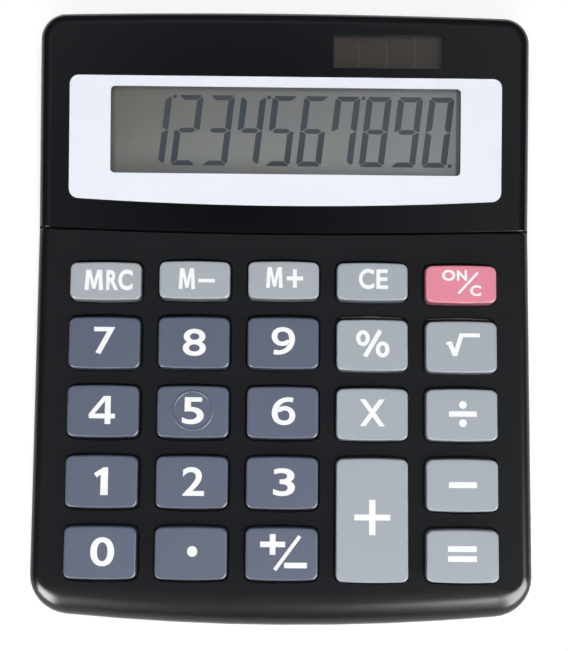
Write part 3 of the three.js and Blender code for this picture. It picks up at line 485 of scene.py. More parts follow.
def make_materials():
    return {
        # Injection-moulded ABS, spark-eroded satin: soft highlights on the rounded edges
        "case": moulded("satin_black_abs", CASE_BLACK, "#0b0e13", 0.26, 0.3 * MM, 0.003 * MM, ior=1.42),
        # Back-printed acrylic: deep black under a polished face
        "panel": moulded("back_printed_acrylic", PANEL_BLACK, "#0c0e12", 0.06, 3 * MM, 0.0, ior=1.49),
        # Silk-screened frame seen through the same polished face
        "frame": moulded("pale_screen_print", FRAME_WHITE, "#edf2fc", 0.08, 3 * MM, 0.0, ior=1.49),
        # Fine-matt ABS keycaps in four colours
        "digit": cap_abs("blue_grey_abs", DIGIT_BLUE, "#565f74"),
        "light": cap_abs("light_grey_abs", LIGHT_GREY, "#a7aeb7"),
        "memory": cap_abs("pale_grey_abs", MEMORY_GREY, "#a7adb5"),
        "pink": cap_abs("pink_abs", ON_PINK, "#e6879c"),
        # Painted shade: the caps' lower walls, flanges and stems in black, so that the gap round each
        # key looks dark
        "shade_skirt": moulded("black_skirt_painted_gap_shade", "#08090a", "#0b0c0e", 0.5, 0.3 * MM, 0.003 * MM),
        # Painted shade: near-black dull tape under the seam, so that the slot there shows as a dark
        # line
        "seam_shade_tape": moulded("black_tape_painted_seam_shade", "#030303", "#050505", 0.95, 0.4 * MM, 0.01 * MM),
        # Pad-printed ink: dense white, a little glossy
        "print": moulded("white_pad_print", PRINT_WHITE, "#fbfcfd", 0.4, 0.4 * MM, 0.002 * MM),
        "pane": clear_acrylic("clear_acrylic_window"),
        "film": polariser_film(),
        # Switched-on liquid crystal: blue-black bars that let a little grey through
        "bars": moulded("dark_liquid_crystal", "#2b3541", "#303b47", 0.4, 0.5 * MM, 0.001 * MM, 3 * MM),
        # Painted shade: a grey border round the visible glass, darker strips at the display's left and
        # right edges where the window's walls shade it
        "edge_shade_border": moulded("grey_border_painted_shade", "#5a5758", "#605d5d", 0.5, 0.3 * MM, 0.004 * MM),
        # Amorphous silicon on glass: dark brown fields, thin paler lines between them
        "solar": moulded("amorphous_silicon", "#332825", "#382d2a", 0.25, 0.5 * MM, 0.001 * MM, 5 * MM),
        "lines": moulded("printed_silver_line", "#3c3430", "#433b37", 0.4, 0.3 * MM, 0.002 * MM),
        # Moulded rubber feet, dull and slightly dusty
        "foot": moulded("black_foot_rubber", "#1f2022", "#2a2b2d", 0.85, 0.4 * MM, 0.02 * MM, 3 * MM),
        # Silicone rubber key mat, milky grey
        "mat": moulded("grey_silicone", "#b3b7bb", "#bdc0c4", 0.7, 0.5 * MM, 0.01 * MM),
        # Paper-based laminate, brown, with a glossy lacquer
        "board": moulded("phenolic_laminate", "#7d6a36", "#8b7a45", 0.45, 0.6 * MM, 0.01 * MM),
        # Cured epoxy drop
        "chip": moulded("black_epoxy", "#0c0c0d", "#121213", 0.25, 1.5 * MM, 0.03 * MM),
        # Zinc-plated steel, faintly brushed by the threading
        "steel": metal("zinc_plated_steel", "#b4b8bc", "#a6abb0", 0.32, 0.3 * MM, 0.005 * MM, 2 * MM),
        # Nickel-plated spring strip and the cell's can
        "nickel": metal(
            "nickel_plated_steel", "#c6c5be", "#bab8b0", 0.22, 0.5 * MM, 0.003 * MM, 4 * MM
        ),
        "glass": moulded("display_glass", "#7f837f", "#878b87", 0.08, 4 * MM, 0.0, ior=1.52),
        "reflector": metal(
            "brushed_reflector_foil", "#9a9c9b", "#a4a6a5", 0.35, 0.2 * MM, 0.004 * MM, 6 * MM
        ),
        "ribbon": moulded("polyimide_ribbon", "#a87a3c", "#b4874a", 0.4, 0.8 * MM, 0.004 * MM),
        # PVC insulation on the wires
        "red_wire": moulded("red_pvc", "#9c1f28", "#a8262e", 0.42, 0.4 * MM, 0.004 * MM),
        "black_wire": moulded("black_pvc", "#151618", "#1b1c1e", 0.42, 0.4 * MM, 0.004 * MM),
    }


# The case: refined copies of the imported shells


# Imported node, the name of its refined copy, and its body
SHELLS = (
    ("top_case", "top_shell", "case"),
    ("bottom_case", "bottom_shell", "case"),
    ("battery_cover", "sliding_battery_cover", "battery_cover"),
)


def refined(node, name):
    """A copy of a node with its loose triangles joined and its flat faces made whole."""
    piece = copy_of(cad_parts[node], name)
    edit(piece)
    bpy.ops.mesh.select_all(action="SELECT")
    bpy.ops.mesh.remove_doubles(threshold=0.0005 * MM)
    bpy.ops.mesh.dissolve_limited(angle_limit=math.radians(0.2))
    leave()
    return piece


def soften(piece, wanted, width, segments=2):
    """Breaks the sharp edges that a test wants."""
    edit(piece)
    bpy.ops.mesh.select_mode(type="EDGE")
    bpy.ops.mesh.select_all(action="DESELECT")
    shape = bmesh.from_edit_mesh(piece.data)
    for edge in shape.edges:
        sharp = len(edge.link_faces) == 2 and edge.calc_face_angle() > math.radians(50)
        if sharp and wanted(edge):
            edge.select_set(True)
    bmesh.update_edit_mesh(piece.data)
    bevel(width, segments, clamp=True)
    leave()


def hole_rim(edge):
    """The edges where the key holes cut the deck."""
    spots = [DECK.inverted() @ v.co for v in edge.verts]
    return all(near(p.z, 0, 0.02 * MM) and p.y < SEAM_Y for p in spots)


def make_case(materials):
    for node, name, body in SHELLS:
        shell = refined(node, name)
        if node == "top_case":
            soften(shell, hole_rim, HOLE_EDGE)
        smooth(shell, 35, weighted=True)
        dress(shell, materials["case"], body, [node])


# The display panel


def window_tool(name, left, right, low, high, corner, deep, tall, wider=0):
    """A round-cornered block that cuts a window or becomes its pane. Its foot may be wider."""
    tool = block(name, (left, low, deep), (right, high, tall))
    edit(tool)
    round_uprights(tool, corner, 6)
    if wider:
        middle = ((left + right) / 2, (low + high) / 2, deep)
        pick(tool, "VERT", lambda co: near(co.z, deep))
        resize((1 + 2 * wider / (right - left), 1 + 2 * wider / (high - low), 1), middle)
    leave()
    return tool


# Left, right, low and high side of the two windows
WINDOW_SIDES = (
    PRINT_SHIFT - WINDOW_WIDTH / 2, PRINT_SHIFT + WINDOW_WIDTH / 2, WINDOW_LOW, WINDOW_HIGH,
)
SOLAR_SIDES = (SOLAR_X - SOLAR_WIDTH / 2, SOLAR_X + SOLAR_WIDTH / 2, SOLAR_LOW, SOLAR_HIGH)


def front_edge(edge):
    """The panel's upper edge along the seam."""
    rearmost = PANEL_FRONT_MIDDLE + PANEL_FRONT_BOW + 0.05 * MM
    return all(v.co.z > -PANEL_ROUND and v.co.y < rearmost for v in edge.verts)


def make_panel(materials):
    """The block starts too deep, because its rounding is wider than the panel is thick."""
    half = BODY_WIDTH / 2
    deep = PANEL_THICKNESS + PANEL_SPARE
    front_end = PANEL_FRONT_MIDDLE + PANEL_FRONT_BOW
    rear_end = PANEL_REAR - PANEL_REAR_BOW
    panel = block("glossy_panel", (-half, front_end, -deep), (half, rear_end, 0))
    edit(panel)
    bow_edge(panel, -1, BODY_WIDTH, PANEL_FRONT_BOW, PANEL_CUTS)
    bow_edge(panel, 1, BODY_WIDTH, PANEL_REAR_BOW, PANEL_CUTS)
    rear_half = lambda middle: middle.y > PANEL_REAR / 2 and abs(middle.x) > half - MM
    round_uprights(panel, PANEL_CORNER, 12, rear_half)
    for level in (-deep, 0):
        whole_face(panel, level)
    pick(panel, "EDGE", lambda middle, way: near(middle.z, 0) and middle.y > front_end + 0.02 * MM)
    bevel(PANEL_ROUND, 10)
    bpy.ops.mesh.select_all(action="SELECT")
    bpy.ops.mesh.bisect(
        plane_co=(0, 0, -PANEL_THICKNESS), plane_no=(0, 0, -1), clear_outer=True, use_fill=True
    )
    leave()
    soften(panel, front_edge, PANEL_FRONT_EDGE, 3)
    for name, sides, corner in (
        ("display", WINDOW_SIDES, WINDOW_CORNER),
        ("solar", SOLAR_SIDES, SOLAR_CORNER),
    ):
        cut_away(panel, window_tool(name, *sides, corner, -deep, CUT_RISE, WINDOW_UNDERCUT))
        pane = window_tool(name + "_window", *sides, corner, -PANE_THICKNESS, -PANE_RECESS)
        place(pane, DISPLAY)
        dress(pane, materials["pane"], "case")
    smooth(panel, 30, weighted=True)
    place(panel, DISPLAY)
    dress(panel, materials["panel"], "case", ["display_panel"])
    make_seam_shade_tape(materials)
    make_printed_frame(materials)


def make_seam_shade_tape(materials):
    """The black tape that holds the panel. Down the slot at the seam its black shows as a dark line of
    painted shade.
    """
    half = BODY_WIDTH / 2 - TAPE_INSET
    bow = PANEL_FRONT_BOW * (2 * half / BODY_WIDTH) ** 2
    front = TAPE_FRONT_MIDDLE + bow
    seam_shade_tape = block("panel_seam_shade_tape", (-half, front, TAPE_LOW), (half, TAPE_REAR, TAPE_HIGH))
    edit(seam_shade_tape)
    bow_edge(seam_shade_tape, -1, 2 * half, bow, PANEL_CUTS)
    for level in (TAPE_LOW, TAPE_HIGH):
        whole_face(seam_shade_tape, level)
    pick_level(seam_shade_tape, TAPE_HIGH)
    bevel(TAPE_EDGE, 1)
    leave()
    smooth(seam_shade_tape)
    place(seam_shade_tape, DISPLAY)
    # The tape's near-black is painted shade for the slot at the seam
    dress(seam_shade_tape, materials["seam_shade_tape"], "case")


def make_printed_frame(materials):
    half = FRAME_WIDTH / 2
    printed = block("printed_frame", (-half, FRAME_LOW, -INK), (half, FRAME_HIGH, INK / 2))
    edit(printed)
    bow_edge(printed, -1, FRAME_WIDTH, FRAME_BOW, PANEL_CUTS)
    round_uprights(printed, FRAME_CORNER, 8, lambda middle: abs(middle.x) > half - 0.1 * MM)
    leave()
    printed.data.transform(Matrix.Translation((PRINT_SHIFT, 0, 0)))
    cut_away(printed, window_tool("cut", *WINDOW_SIDES, WINDOW_CORNER, -MM, MM))
    place(printed, DISPLAY)
    dress(printed, materials["frame"], "case")


# The keys


def model_cap(name, depth):
    """One keycap about its own middle: a bowed hollow cap, and the black skirt with flange and stem,
    whose black is painted shade.
    """
    half = depth / 2
    cap = block(name, (-KEY_WIDTH / 2, -half, FLANGE_TOP), (KEY_WIDTH / 2, half, KEY_HEIGHT))
    edit(cap)
    for side in (-1, 1):
        bow_edge(cap, side, KEY_WIDTH, KEY_EDGE_BOW, BOW_CUTS)
    round_uprights(cap, KEY_CORNER, 6, lambda middle: abs(middle.x) > KEY_WIDTH / 2 - 0.1 * MM)
    for level in (FLANGE_TOP, KEY_HEIGHT):
        whole_face(cap, level)
    pick_facing(cap, 1)
    resize((1, 1 - KEY_REAR_DRAFT / depth, 1), (0, -half, KEY_HEIGHT))
    pick_level(cap, KEY_HEIGHT)
    bevel(KEY_FILLET, 5)
    pick_facing(cap, -1)
    extrude(0)
    wider = (1 + 2 * FLANGE_REACH / KEY_WIDTH, 1 + 2 * FLANGE_REACH / depth, 1)
    resize(wider, (0, 0, FLANGE_TOP))
    extrude(FLANGE_LOW - FLANGE_TOP)
    bpy.ops.mesh.inset(thickness=FLANGE_REACH + KEY_WALL)
    extrude(KEY_HEIGHT - KEY_WALL - FLANGE_LOW)
    leave()
    stem = disc("stem", 0, 0, STEM_RADIUS, FLANGE_LOW, KEY_HEIGHT - KEY_WALL / 2, 24)
    edit(stem)
    pick_level(stem, FLANGE_LOW)
    bevel(STEM_EDGE, 2)
    leave()
    cap = join(name, [cap, stem])
    shade_skirt = copy_of(cap, name + "_shade_skirt")
    for piece, height, way in ((cap, CAP_FOOT, -1), (shade_skirt, CAP_FOOT - FOOT_JOINT, 1)):
        edit(piece)
        bpy.ops.mesh.select_all(action="SELECT")
        bpy.ops.mesh.bisect(
            plane_co=(0, 0, height), plane_no=(0, 0, way), clear_outer=True, use_fill=True
        )
        leave()
        smooth(piece, 35, weighted=True)
    return cap, shade_skirt


# Name and colour of each key, in rows from the rear. The tall key fills the empty place.
KEY_ROWS = [
    [("mrc", "memory"), ("m_minus", "memory"), ("m_plus", "memory"), ("ce", "light"), ("on_c", "pink")],
    [("7", "digit"), ("8", "digit"), ("9", "digit"), ("percent", "light"), ("root", "light")],
    [("4", "digit"), ("5", "digit"), ("6", "digit"), ("multiply", "light"), ("divide", "light")],
    [("1", "digit"), ("2", "digit"), ("3", "digit"), ("plus", "light"), ("minus", "light")],
    [("0", "digit"), ("point", "digit"), ("sign", "digit"), None, ("equals", "light")],
]
# How far the caps of each row sit to the rear in their holes, and the function keys' own shift
CAP_SHIFTS = (-0.12 * MM, -0.2 * MM, 0.14 * MM, 0.18 * MM, 0.26 * MM)
FUNCTION_SHIFT = -0.22 * MM


def key_place(row, column):
    x = (column - MIDDLE_COLUMN) * KEY_PITCH_X
    share = 1 - ((column - MIDDLE_COLUMN) / MIDDLE_COLUMN) ** 2
    if row == 0:
        return x, TOP_ROW + TOP_ROW_BOW * share
    bow = SECOND_ROW_BOW * share if row == 1 else 0
    return x, SECOND_ROW - (row - 1) * KEY_PITCH_Y + bow


# Shapes of the legends that are drawn here, in shares of their own width and height
BAR = [[(0, 0), (1, 0), (1, 1), (0, 1)]]
ONE = [[(0.48, 0), (1, 0), (1, 1), (0.68, 1), (0, 0.78), (0.2, 0.63), (0.48, 0.74)]]
FOUR = [
    [
        (0.61, 0), (0.83, 0), (0.83, 0.2), (1, 0.2), (1, 0.37), (0.83, 0.37),
        (0.83, 1), (0.56, 1), (0, 0.36), (0, 0.2), (0.61, 0.2),
    ],
    [(0.22, 0.37), (0.61, 0.82), (0.61, 0.37)],
]
EM = [
    [
        (0, 0), (0.22, 0), (0.26, 0.64), (0.41, 0.06), (0.59, 0.06), (0.74, 0.64), (0.78, 0),
        (1, 0), (0.93, 1), (0.67, 1), (0.5, 0.4), (0.33, 1), (0.07, 1),
    ]
]
EX_BAR = 0.225
EX_NOTCH = (1 - 2 * EX_BAR) / (2 * (1 - EX_BAR))
EX = [
    [
        (0, 0), (EX_BAR, 0), (0.5, EX_NOTCH), (1 - EX_BAR, 0), (1, 0), (0.5 + EX_BAR / 2, 0.5),
        (1, 1), (1 - EX_BAR, 1), (0.5, 1 - EX_NOTCH), (EX_BAR, 1), (0, 1), (0.5 - EX_BAR / 2, 0.5),
    ]
]
# The middle line of the nine, from its tail round the bowl, and the pen that draws it
NINE_LINE = [
    (0.1, 0.105), (0.34, 0.085), (0.6, 0.15), (0.79, 0.31), (0.87, 0.52), (0.86, 0.68), (0.78, 0.82),
    (0.63, 0.9), (0.48, 0.92), (0.31, 0.895), (0.18, 0.81), (0.13, 0.66), (0.18, 0.52), (0.3, 0.43),
    (0.45, 0.4), (0.58, 0.42), (0.71, 0.47),
]
NINE_PEN = (0.25, 0.16)
ROOT = [
    [
        (0, 0.52), (0.07, 0.48), (0.2, 0), (0.33, 0), (0.5, 0.83), (1, 0.83),
        (1, 1), (0.4, 1), (0.262, 0.32), (0.17, 0.64), (0.02, 0.62),
    ]
]


def cross(thick_across, thick_up):
    """A plus sign whose two bars have their own thickness, as shares."""
    left, right = 0.5 - thick_across / 2, 0.5 + thick_across / 2
    low, high = 0.5 - thick_up / 2, 0.5 + thick_up / 2
    return [
        [
            (left, 0), (right, 0), (right, low), (1, low), (1, high), (right, high),
            (right, 1), (left, 1), (left, high), (0, high), (0, low), (left, low),
        ]
    ]


def slash(x0, y0, x1, y1, thick, width, height):
    """A slanting bar between two places in shares. Its thickness and box are in one unit."""
    run, rise = (x1 - x0) * width, (y1 - y0) * height
    long = math.hypot(run, rise)
    across, up = rise / long * thick / 2 / width, run / long * thick / 2 / height
    start = [(x0 - across, y0 + up), (x0 + across, y0 - up)]
    return [start + [(x1 + across, y1 - up), (x1 - across, y1 + up)]]


def oval(x, y, across, up, count=28):
    turns = [i * math.tau / count for i in range(count)]
    return [(x + across * math.cos(turn), y + up * math.sin(turn)) for turn in turns]


def dot():
    return [oval(0.5, 0.5, 0.5, 0.5)]


def smooth_line(line, steps=5):
    """A Catmull-Rom curve through the points of a middle line."""
    ends = [line[0]] + line + [line[-1]]
    curve = []
    for before, start, end, after in zip(ends, ends[1:], ends[2:], ends[3:]):
        for i in range(steps):
            s = i / steps
            weights = (
                (-s + 2 * s * s - s ** 3) / 2,
                (2 - 5 * s * s + 3 * s ** 3) / 2,
                (s + 4 * s * s - 3 * s ** 3) / 2,
                (s ** 3 - s * s) / 2,
            )
            spots = list(zip(weights, (before, start, end, after)))
            curve.append(tuple(sum(w * spot[k] for w, spot in spots) for k in (0, 1)))
    return curve + [line[-1]]


def looped(line, pen):
    """The outline and the hole of a line that ends in its own stroke. The pen has two widths."""
    curve = smooth_line(line)
    inner, outer = [], []
    for i, (x, y) in enumerate(curve):
        x0, y0 = curve[max(i - 1, 0)]
        x1, y1 = curve[min(i + 1, len(curve) - 1)]
        long = math.hypot(x1 - x0, y1 - y0)
        across, up = (y1 - y0) / long * pen[0] / 2, (x1 - x0) / long * pen[1] / 2
        inner.append((x - across, y + up))
        outer.append((x + across, y - up))
    stroke = range(len(curve) // 2)
    low = min(stroke, key=lambda i: math.dist(inner[i], outer[-1]))
    high = min(stroke, key=lambda i: math.dist(inner[i], inner[-1]))
    return [outer + inner[low::-1], inner[high:]]


def turned(loops):
    return [[(1 - x, 1 - y) for x, y in loop] for loop in loops]


# How much letters and numerals are swelled, and the keys that have their own amount
BOLD = 0.026
WEIGHTS = {
    "mrc": 0.034, "on_c": 0.036, "7": 0.012, "8": 0.013,
    "5": 0.016, "0": 0.018, "2": 0.016, "3": 0.016,
}
# For each key: width, height, shift right, shift up (mm), then its marks.
# A mark is what it shows and its box in shares of the legend: left, right, low, high.
WHOLE = (0, 1, 0, 1)
LEGENDS = {
    "mrc": (
        10.0, 4.4, 0.6, -0.1,
        [(EM, (0, 0.385, 0, 0.97)), ("R", (0.45, 0.7, 0, 0.97)), ("C", (0.7, 1, 0, 1))],
    ),
    "m_minus": (7.5, 4.4, 0.4, -0.1, [(EM, (0, 0.455, 0, 1)), (BAR, (0.545, 1, 0.33, 0.5))]),
    "m_plus": (7.7, 4.4, 0.2, 0.2, [(EM, (0, 0.45, 0, 1)), (cross(0.24, 0.22), (0.555, 1, 0.02, 0.9))]),
    "ce": (6.1, 4.3, 0.2, 0.2, [("C", (0, 0.53, 0, 1)), ("E", (0.6, 1, 0.01, 0.98))]),
    "on_c": (
        8.2, 5.5, 0.1, -0.1,
        [("O", (0, 0.34, 0.58, 1)), ("N", (0.38, 0.64, 0.59, 0.99)),
         (slash(0.42, 0.1, 0.92, 0.91, 0.5, 8.2, 5.5), WHOLE), ("C", (0.715, 1, 0, 0.42))],
    ),
    "7": (4.4, 5.7, 0, 0, [("7", WHOLE)]),
    "8": (4.8, 5.7, 0.1, -0.4, [("8", WHOLE)]),
    "9": (4.9, 5.8, 0, 0, [(looped(NINE_LINE, NINE_PEN), WHOLE)]),
    "percent": (
        7.0, 5.8, 0.1, -0.3,
        [([oval(0.205, 0.69, 0.205, 0.29), oval(0.205, 0.69, 0.078, 0.15)], WHOLE),
         ([oval(0.79, 0.29, 0.205, 0.29), oval(0.79, 0.29, 0.078, 0.15)], WHOLE),
         (slash(0.265, 0.03, 0.72, 0.97, 0.95, 7.0, 5.8), WHOLE)],
    ),
    "root": (7.1, 4.8, 0.3, -0.2, [(ROOT, WHOLE)]),
    "4": (5.4, 5.8, -0.2, 0.1, [(FOUR, WHOLE)]),
    "5": (4.5, 5.6, 0, 0.1, [("5", WHOLE)]),
    "6": (4.9, 5.8, 0.2, 0.2, [(turned(looped(NINE_LINE, NINE_PEN)), WHOLE)]),
    "multiply": (5.2, 5.6, 0, 0, [(EX, WHOLE)]),
    "divide": (
        5.8, 5.4, 0.2, -0.1,
        [(BAR, (0, 1, 0.395, 0.605)), (dot(), (0.36, 0.64, 0.7, 1)), (dot(), (0.36, 0.64, 0, 0.3))],
    ),
    "1": (2.9, 5.7, -0.1, 0, [(ONE, WHOLE)]),
    "2": (4.5, 5.9, 0.3, 0.1, [("2", WHOLE)]),
    "3": (4.5, 5.7, 0.4, 0.1, [("3", WHOLE)]),
    "plus": (7.4, 7.2, 0, 0.3, [(cross(0.175, 0.17), WHOLE)]),
    "minus": (5.8, 1.2, 0.1, -0.2, [(BAR, WHOLE)]),
    "0": (4.9, 5.9, 0.5, 0.2, [("0", WHOLE)]),
    "point": (2.1, 2.2, 0.3, 0.4, [(dot(), WHOLE)]),
    "sign": (
        9.6, 7.5, 0.4, 0.3,
        [(cross(0.23, 0.27), (0, 0.535, 0.44, 1)), (BAR, (0.515, 1, 0.08, 0.23)),
         (slash(0.315, 0.03, 0.845, 0.95, 0.75, 9.6, 7.5), WHOLE)],
    ),
    "equals": (5.9, 3.2, -0.1, 0.3, [(BAR, (0, 1, 0.63, 1)), (BAR, (0, 1, 0, 0.37))]),
}


def model_mark(what, weight):
    """One letter, numeral or drawn shape as a thin closed plate."""
    bpy.ops.object.select_all(action="DESELECT")
    if isinstance(what, str):
        bpy.ops.object.text_add()
        mark = bpy.context.object
        mark.data.body = what
        mark.data.offset = weight
        mark.data.resolution_u = 6
        mark.data.extrude = 1
    else:
        curve = bpy.data.curves.new("mark", "CURVE")
        curve.dimensions = "2D"
        curve.fill_mode = "BOTH"
        curve.extrude = 1
        for loop in what:
            spline = curve.splines.new("POLY")
            spline.points.add(len(loop) - 1)
            for point, (x, y) in zip(spline.points, loop):
                point.co = (x, y, 0, 1)
            spline.use_cyclic_u = True
        mark = bpy.data.objects.new("mark", curve)
        bpy.context.scene.collection.objects.link(mark)
    only(mark)
    bpy.ops.object.convert(target="MESH")
    mark = bpy.context.object
    edit(mark)
    bpy.ops.mesh.select_all(action="SELECT")
    bpy.ops.mesh.remove_doubles(threshold=0.0001)
    bpy.ops.mesh.normals_make_consistent(inside=False)
    leave()
    return mark


def fit_mark(mark, left, right, low, high, whole_box):
    """Stretches a mark to its box. One drawn in shares of the box keeps its place there."""
    spots = [v.co for v in mark.data.vertices]
    x0, x1 = (0, 1) if whole_box else (min(p.x for p in spots), max(p.x for p in spots))
    y0, y1 = (0, 1) if whole_box else (min(p.y for p in spots), max(p.y for p in spots))
    stretch = Matrix.Diagonal(((right - left) / (x1 - x0), (high - low) / (y1 - y0), INK, 1))
    start = Matrix.Translation((-x0, -y0, 0))
    mark.data.transform(Matrix.Translation((left, low, 0)) @ stretch @ start)


def make_legend(name, x, y, material):
    width, height, shift_x, shift_y, marks = LEGENDS[name]
    width, height = width * MM, height * MM
    left = x + shift_x * MM - width / 2
    low = y + shift_y * MM - height / 2
    weight = WEIGHTS.get(name, BOLD)
    made = []
    for what, (x0, x1, y0, y1) in marks:
        mark = model_mark(what, weight)
        box = (left + x0 * width, left + x1 * width, low + y0 * height, low + y1 * height)
        fit_mark(mark, *box, not isinstance(what, str))
        made.append(mark)
    legend = join("legend_" + name, made)
    place(legend, DECK @ Matrix.Translation((0, 0, KEY_HEIGHT)))
    dress(legend, material, "key_" + name)


def make_keys(materials):
    caps = {
        "small": model_cap("small_cap", SMALL_KEY_DEPTH),
        "full": model_cap("full_cap", KEY_DEPTH),
        "tall": model_cap("tall_cap", TALL_KEY_DEPTH),
    }
    for row, entries in enumerate(KEY_ROWS):
        for column, entry in enumerate(entries):
            if not entry:
                continue
            name, colour = entry
            x, y = key_place(row, column)
            kind = "small" if row == 0 else "full"
            if name == "plus":
                kind = "tall"
                y -= KEY_PITCH_Y / 2
            shift = CAP_SHIFTS[row] + (FUNCTION_SHIFT if row and column > MIDDLE_COLUMN else 0)
            titles = ("keycap_" + name, "key_shade_skirt_" + name)
            parts = [copy_of(part, title) for part, title in zip(caps[kind], titles)]
            for part in parts:
                place(part, DECK @ Matrix.Translation((x, y + shift, 0)))
            dress(parts[0], materials[colour], "key_" + name, ["key_" + name])
            # The skirt's black is painted shade for the gap round the key
            dress(parts[1], materials["shade_skirt"], "key_" + name)
            make_legend(name, x, y, materials["print"])
            if name == "5":
                make_ring(x, y + shift, materials[colour])
    for parts in caps.values():
        for part in parts:
            bpy.data.objects.remove(part)


def make_ring(x, y, material):
    """The low raised ring that a finger feels on the middle key."""
    bpy.ops.object.select_all(action="DESELECT")
    bpy.ops.mesh.primitive_torus_add(
        major_radius=RING_RADIUS, minor_radius=RING_THICKNESS, major_segments=64, minor_segments=16
    )
    ring = bpy.context.object
    ring.name = "ring_5"
    edit(ring)
    bpy.ops.mesh.select_all(action="SELECT")
    resize((1, 1, RING_FLATNESS))
    bpy.ops.mesh.bisect(plane_co=(0, 0, RING_FOOT), plane_no=(0, 0, -1), clear_outer=True)
    pick(ring, "EDGE", lambda middle, way: near(middle.z, RING_FOOT) and abs(way.z) < 0.01)
    bpy.ops.mesh.bridge_edge_loops()
    leave()
    smooth(ring, 60)
    place(ring, DECK @ Matrix.Translation((x, y, KEY_HEIGHT)))
    dress(ring, material, "key_5")


# The display and the solar cell


def numeral_bars():
    """The seven bars of a numeral, unslanted: a to f clockwise from the top, g in the middle."""
    w, h, t, u = NUMERAL_WIDTH, NUMERAL_TOP - NUMERAL_BOTTOM, UPRIGHT_HALF, LEVEL_HALF
    m, g = h / 2, BAR_GAP
    top = [
        (-0.55 * t, h + u), (w + 0.55 * t, h + u), (w + 0.1 * t, h + 0.2 * u),
        (w - t - g, h - u), (t + g, h - u), (-0.1 * t, h + 0.2 * u),
    ]
    upper_left = [
        (-t, m + g), (-0.2 * t, m + g), (t, m + u + g),
        (t, h - u - g), (-0.3 * t, h + 0.2 * u), (-t, h - 0.2 * u),
    ]
    half_lens = [
        (0.15 * t, m), (1.2 * t, m + 0.95 * u), (w - 1.2 * t, m + 0.95 * u), (w - 0.15 * t, m),
    ]
    over = lambda bar: [(x, h - y) for x, y in bar]
    across = lambda bar: [(w - x, y) for x, y in bar]
    return {
        "a": top,
        "b": across(upper_left),
        "c": over(across(upper_left)),
        "d": over(top),
        "e": over(upper_left),
        "f": upper_left,
        "g": half_lens + over(half_lens)[2:0:-1],
    }


BARS_OF = {
    "1": "bc", "2": "abged", "3": "abgcd", "4": "fbgc", "5": "afgcd",
    "6": "afgecd", "7": "afbc", "8": "afbgecd", "9": "afbgcd", "0": "afbecd",
}
SHOWN = "1234567890"
# The places, counted from 0, that a thousands mark follows
MARKED_AFTER = (0, 3, 6)


def make_numerals(materials):
    bars = numeral_bars()
    loops, spots = [], []
    for place_number, numeral in enumerate(SHOWN):
        left = FIRST_NUMERAL_X + place_number * NUMERAL_PITCH
        for bar in BARS_OF[numeral]:
            loops.append([(left + x, NUMERAL_BOTTOM + y) for x, y in bars[bar]])
        if place_number in MARKED_AFTER:
            spots.append((left + NUMERAL_WIDTH + MARK_ACROSS, NUMERAL_TOP + MARK_UP))
    spots.append((left + NUMERAL_WIDTH + POINT_ACROSS, NUMERAL_BOTTOM - POINT_DOWN))
    loops += [oval(x, y, MARK_RADIUS, MARK_RADIUS, MARK_SIDES) for x, y in spots]
    loops = [[(x + NUMERAL_SLANT * y, y) for x, y in loop] for loop in loops]
    numerals = model_mark(loops, 0)
    numerals.name = "display_numerals"
    numerals.data.transform(Matrix.Diagonal((1, 1, BAR_THICKNESS, 1)))
    height = LCD_TOP + POLARISER_THICKNESS + BAR_LIFT
    place(numerals, DISPLAY @ Matrix.Translation((0, 0, height)))
    dress(numerals, materials["bars"], "case")


def glass_block(name, sides, margin, foot, top):
    """A box that reaches a margin beyond a window's sides."""
    left, right, low, high = sides
    return block(name, (left - margin, low - margin, foot), (right + margin, high + margin, top))


def make_display(materials):
    top = LCD_TOP + POLARISER_THICKNESS
    film = glass_block("polariser", WINDOW_SIDES, POLARISER_MARGIN, LCD_TOP + POLARISER_LIFT, top)
    edit(film)
    round_uprights(film, POLARISER_CORNER, 3)
    halfway = LCD_TOP + POLARISER_THICKNESS / 2
    pick(film, "EDGE", lambda middle, way: middle.z > halfway and abs(way.z) < 0.5)
    bevel(POLARISER_EDGE, 2)
    leave()
    smooth(film)
    place(film, DISPLAY)
    dress(film, materials["film"], "case")
    # The grey border's strips at the display's edges are painted shade from the window's walls
    levels = (top + BORDER_LOW, top + BORDER_HIGH)
    edge_shade_border = glass_block("border_painted_shade", WINDOW_SIDES, POLARISER_MARGIN, *levels)
    opening = [side + shift for side, shift in zip(WINDOW_SIDES, BORDER_SHIFTS)]
    cut_away(edge_shade_border, window_tool("cut", *opening, BORDER_CORNER, 2 * LCD_TOP, MM))
    place(edge_shade_border, DISPLAY)
    dress(edge_shade_border, materials["edge_shade_border"], "case")
    make_numerals(materials)


def make_solar(materials):
    top = LCD_TOP - SOLAR_DROP
    back = glass_block("solar_glass", SOLAR_SIDES, SOLAR_MARGIN, top - SOLAR_THICKNESS, top)
    edit(back)
    pick(back, "EDGE", lambda middle, way: True)
    bevel(SOLAR_EDGE, 2)
    leave()
    smooth(back, 50)
    place(back, DISPLAY)
    dress(back, materials["lines"], "case", ["solar_cell"])
    left, right, low, high = SOLAR_SIDES
    margin = SOLAR_MARGIN - FIELD_INSET
    wide = (right - left + 2 * margin) / FIELD_COUNT
    fields = []
    for i in range(FIELD_COUNT):
        x = left + i * wide
        sides = (x - margin + FIELD_GAP / 2, x - margin + wide - FIELD_GAP / 2)
        start = (sides[0], low - margin, top + FIELD_LOW)
        fields.append(block("field", start, (sides[1], high + margin, top + FIELD_HIGH)))
    cells = join("solar_fields", fields)
    place(cells, DISPLAY)
    dress(cells, materials["solar"], "case")


# Feet and screws, modelled once and copied


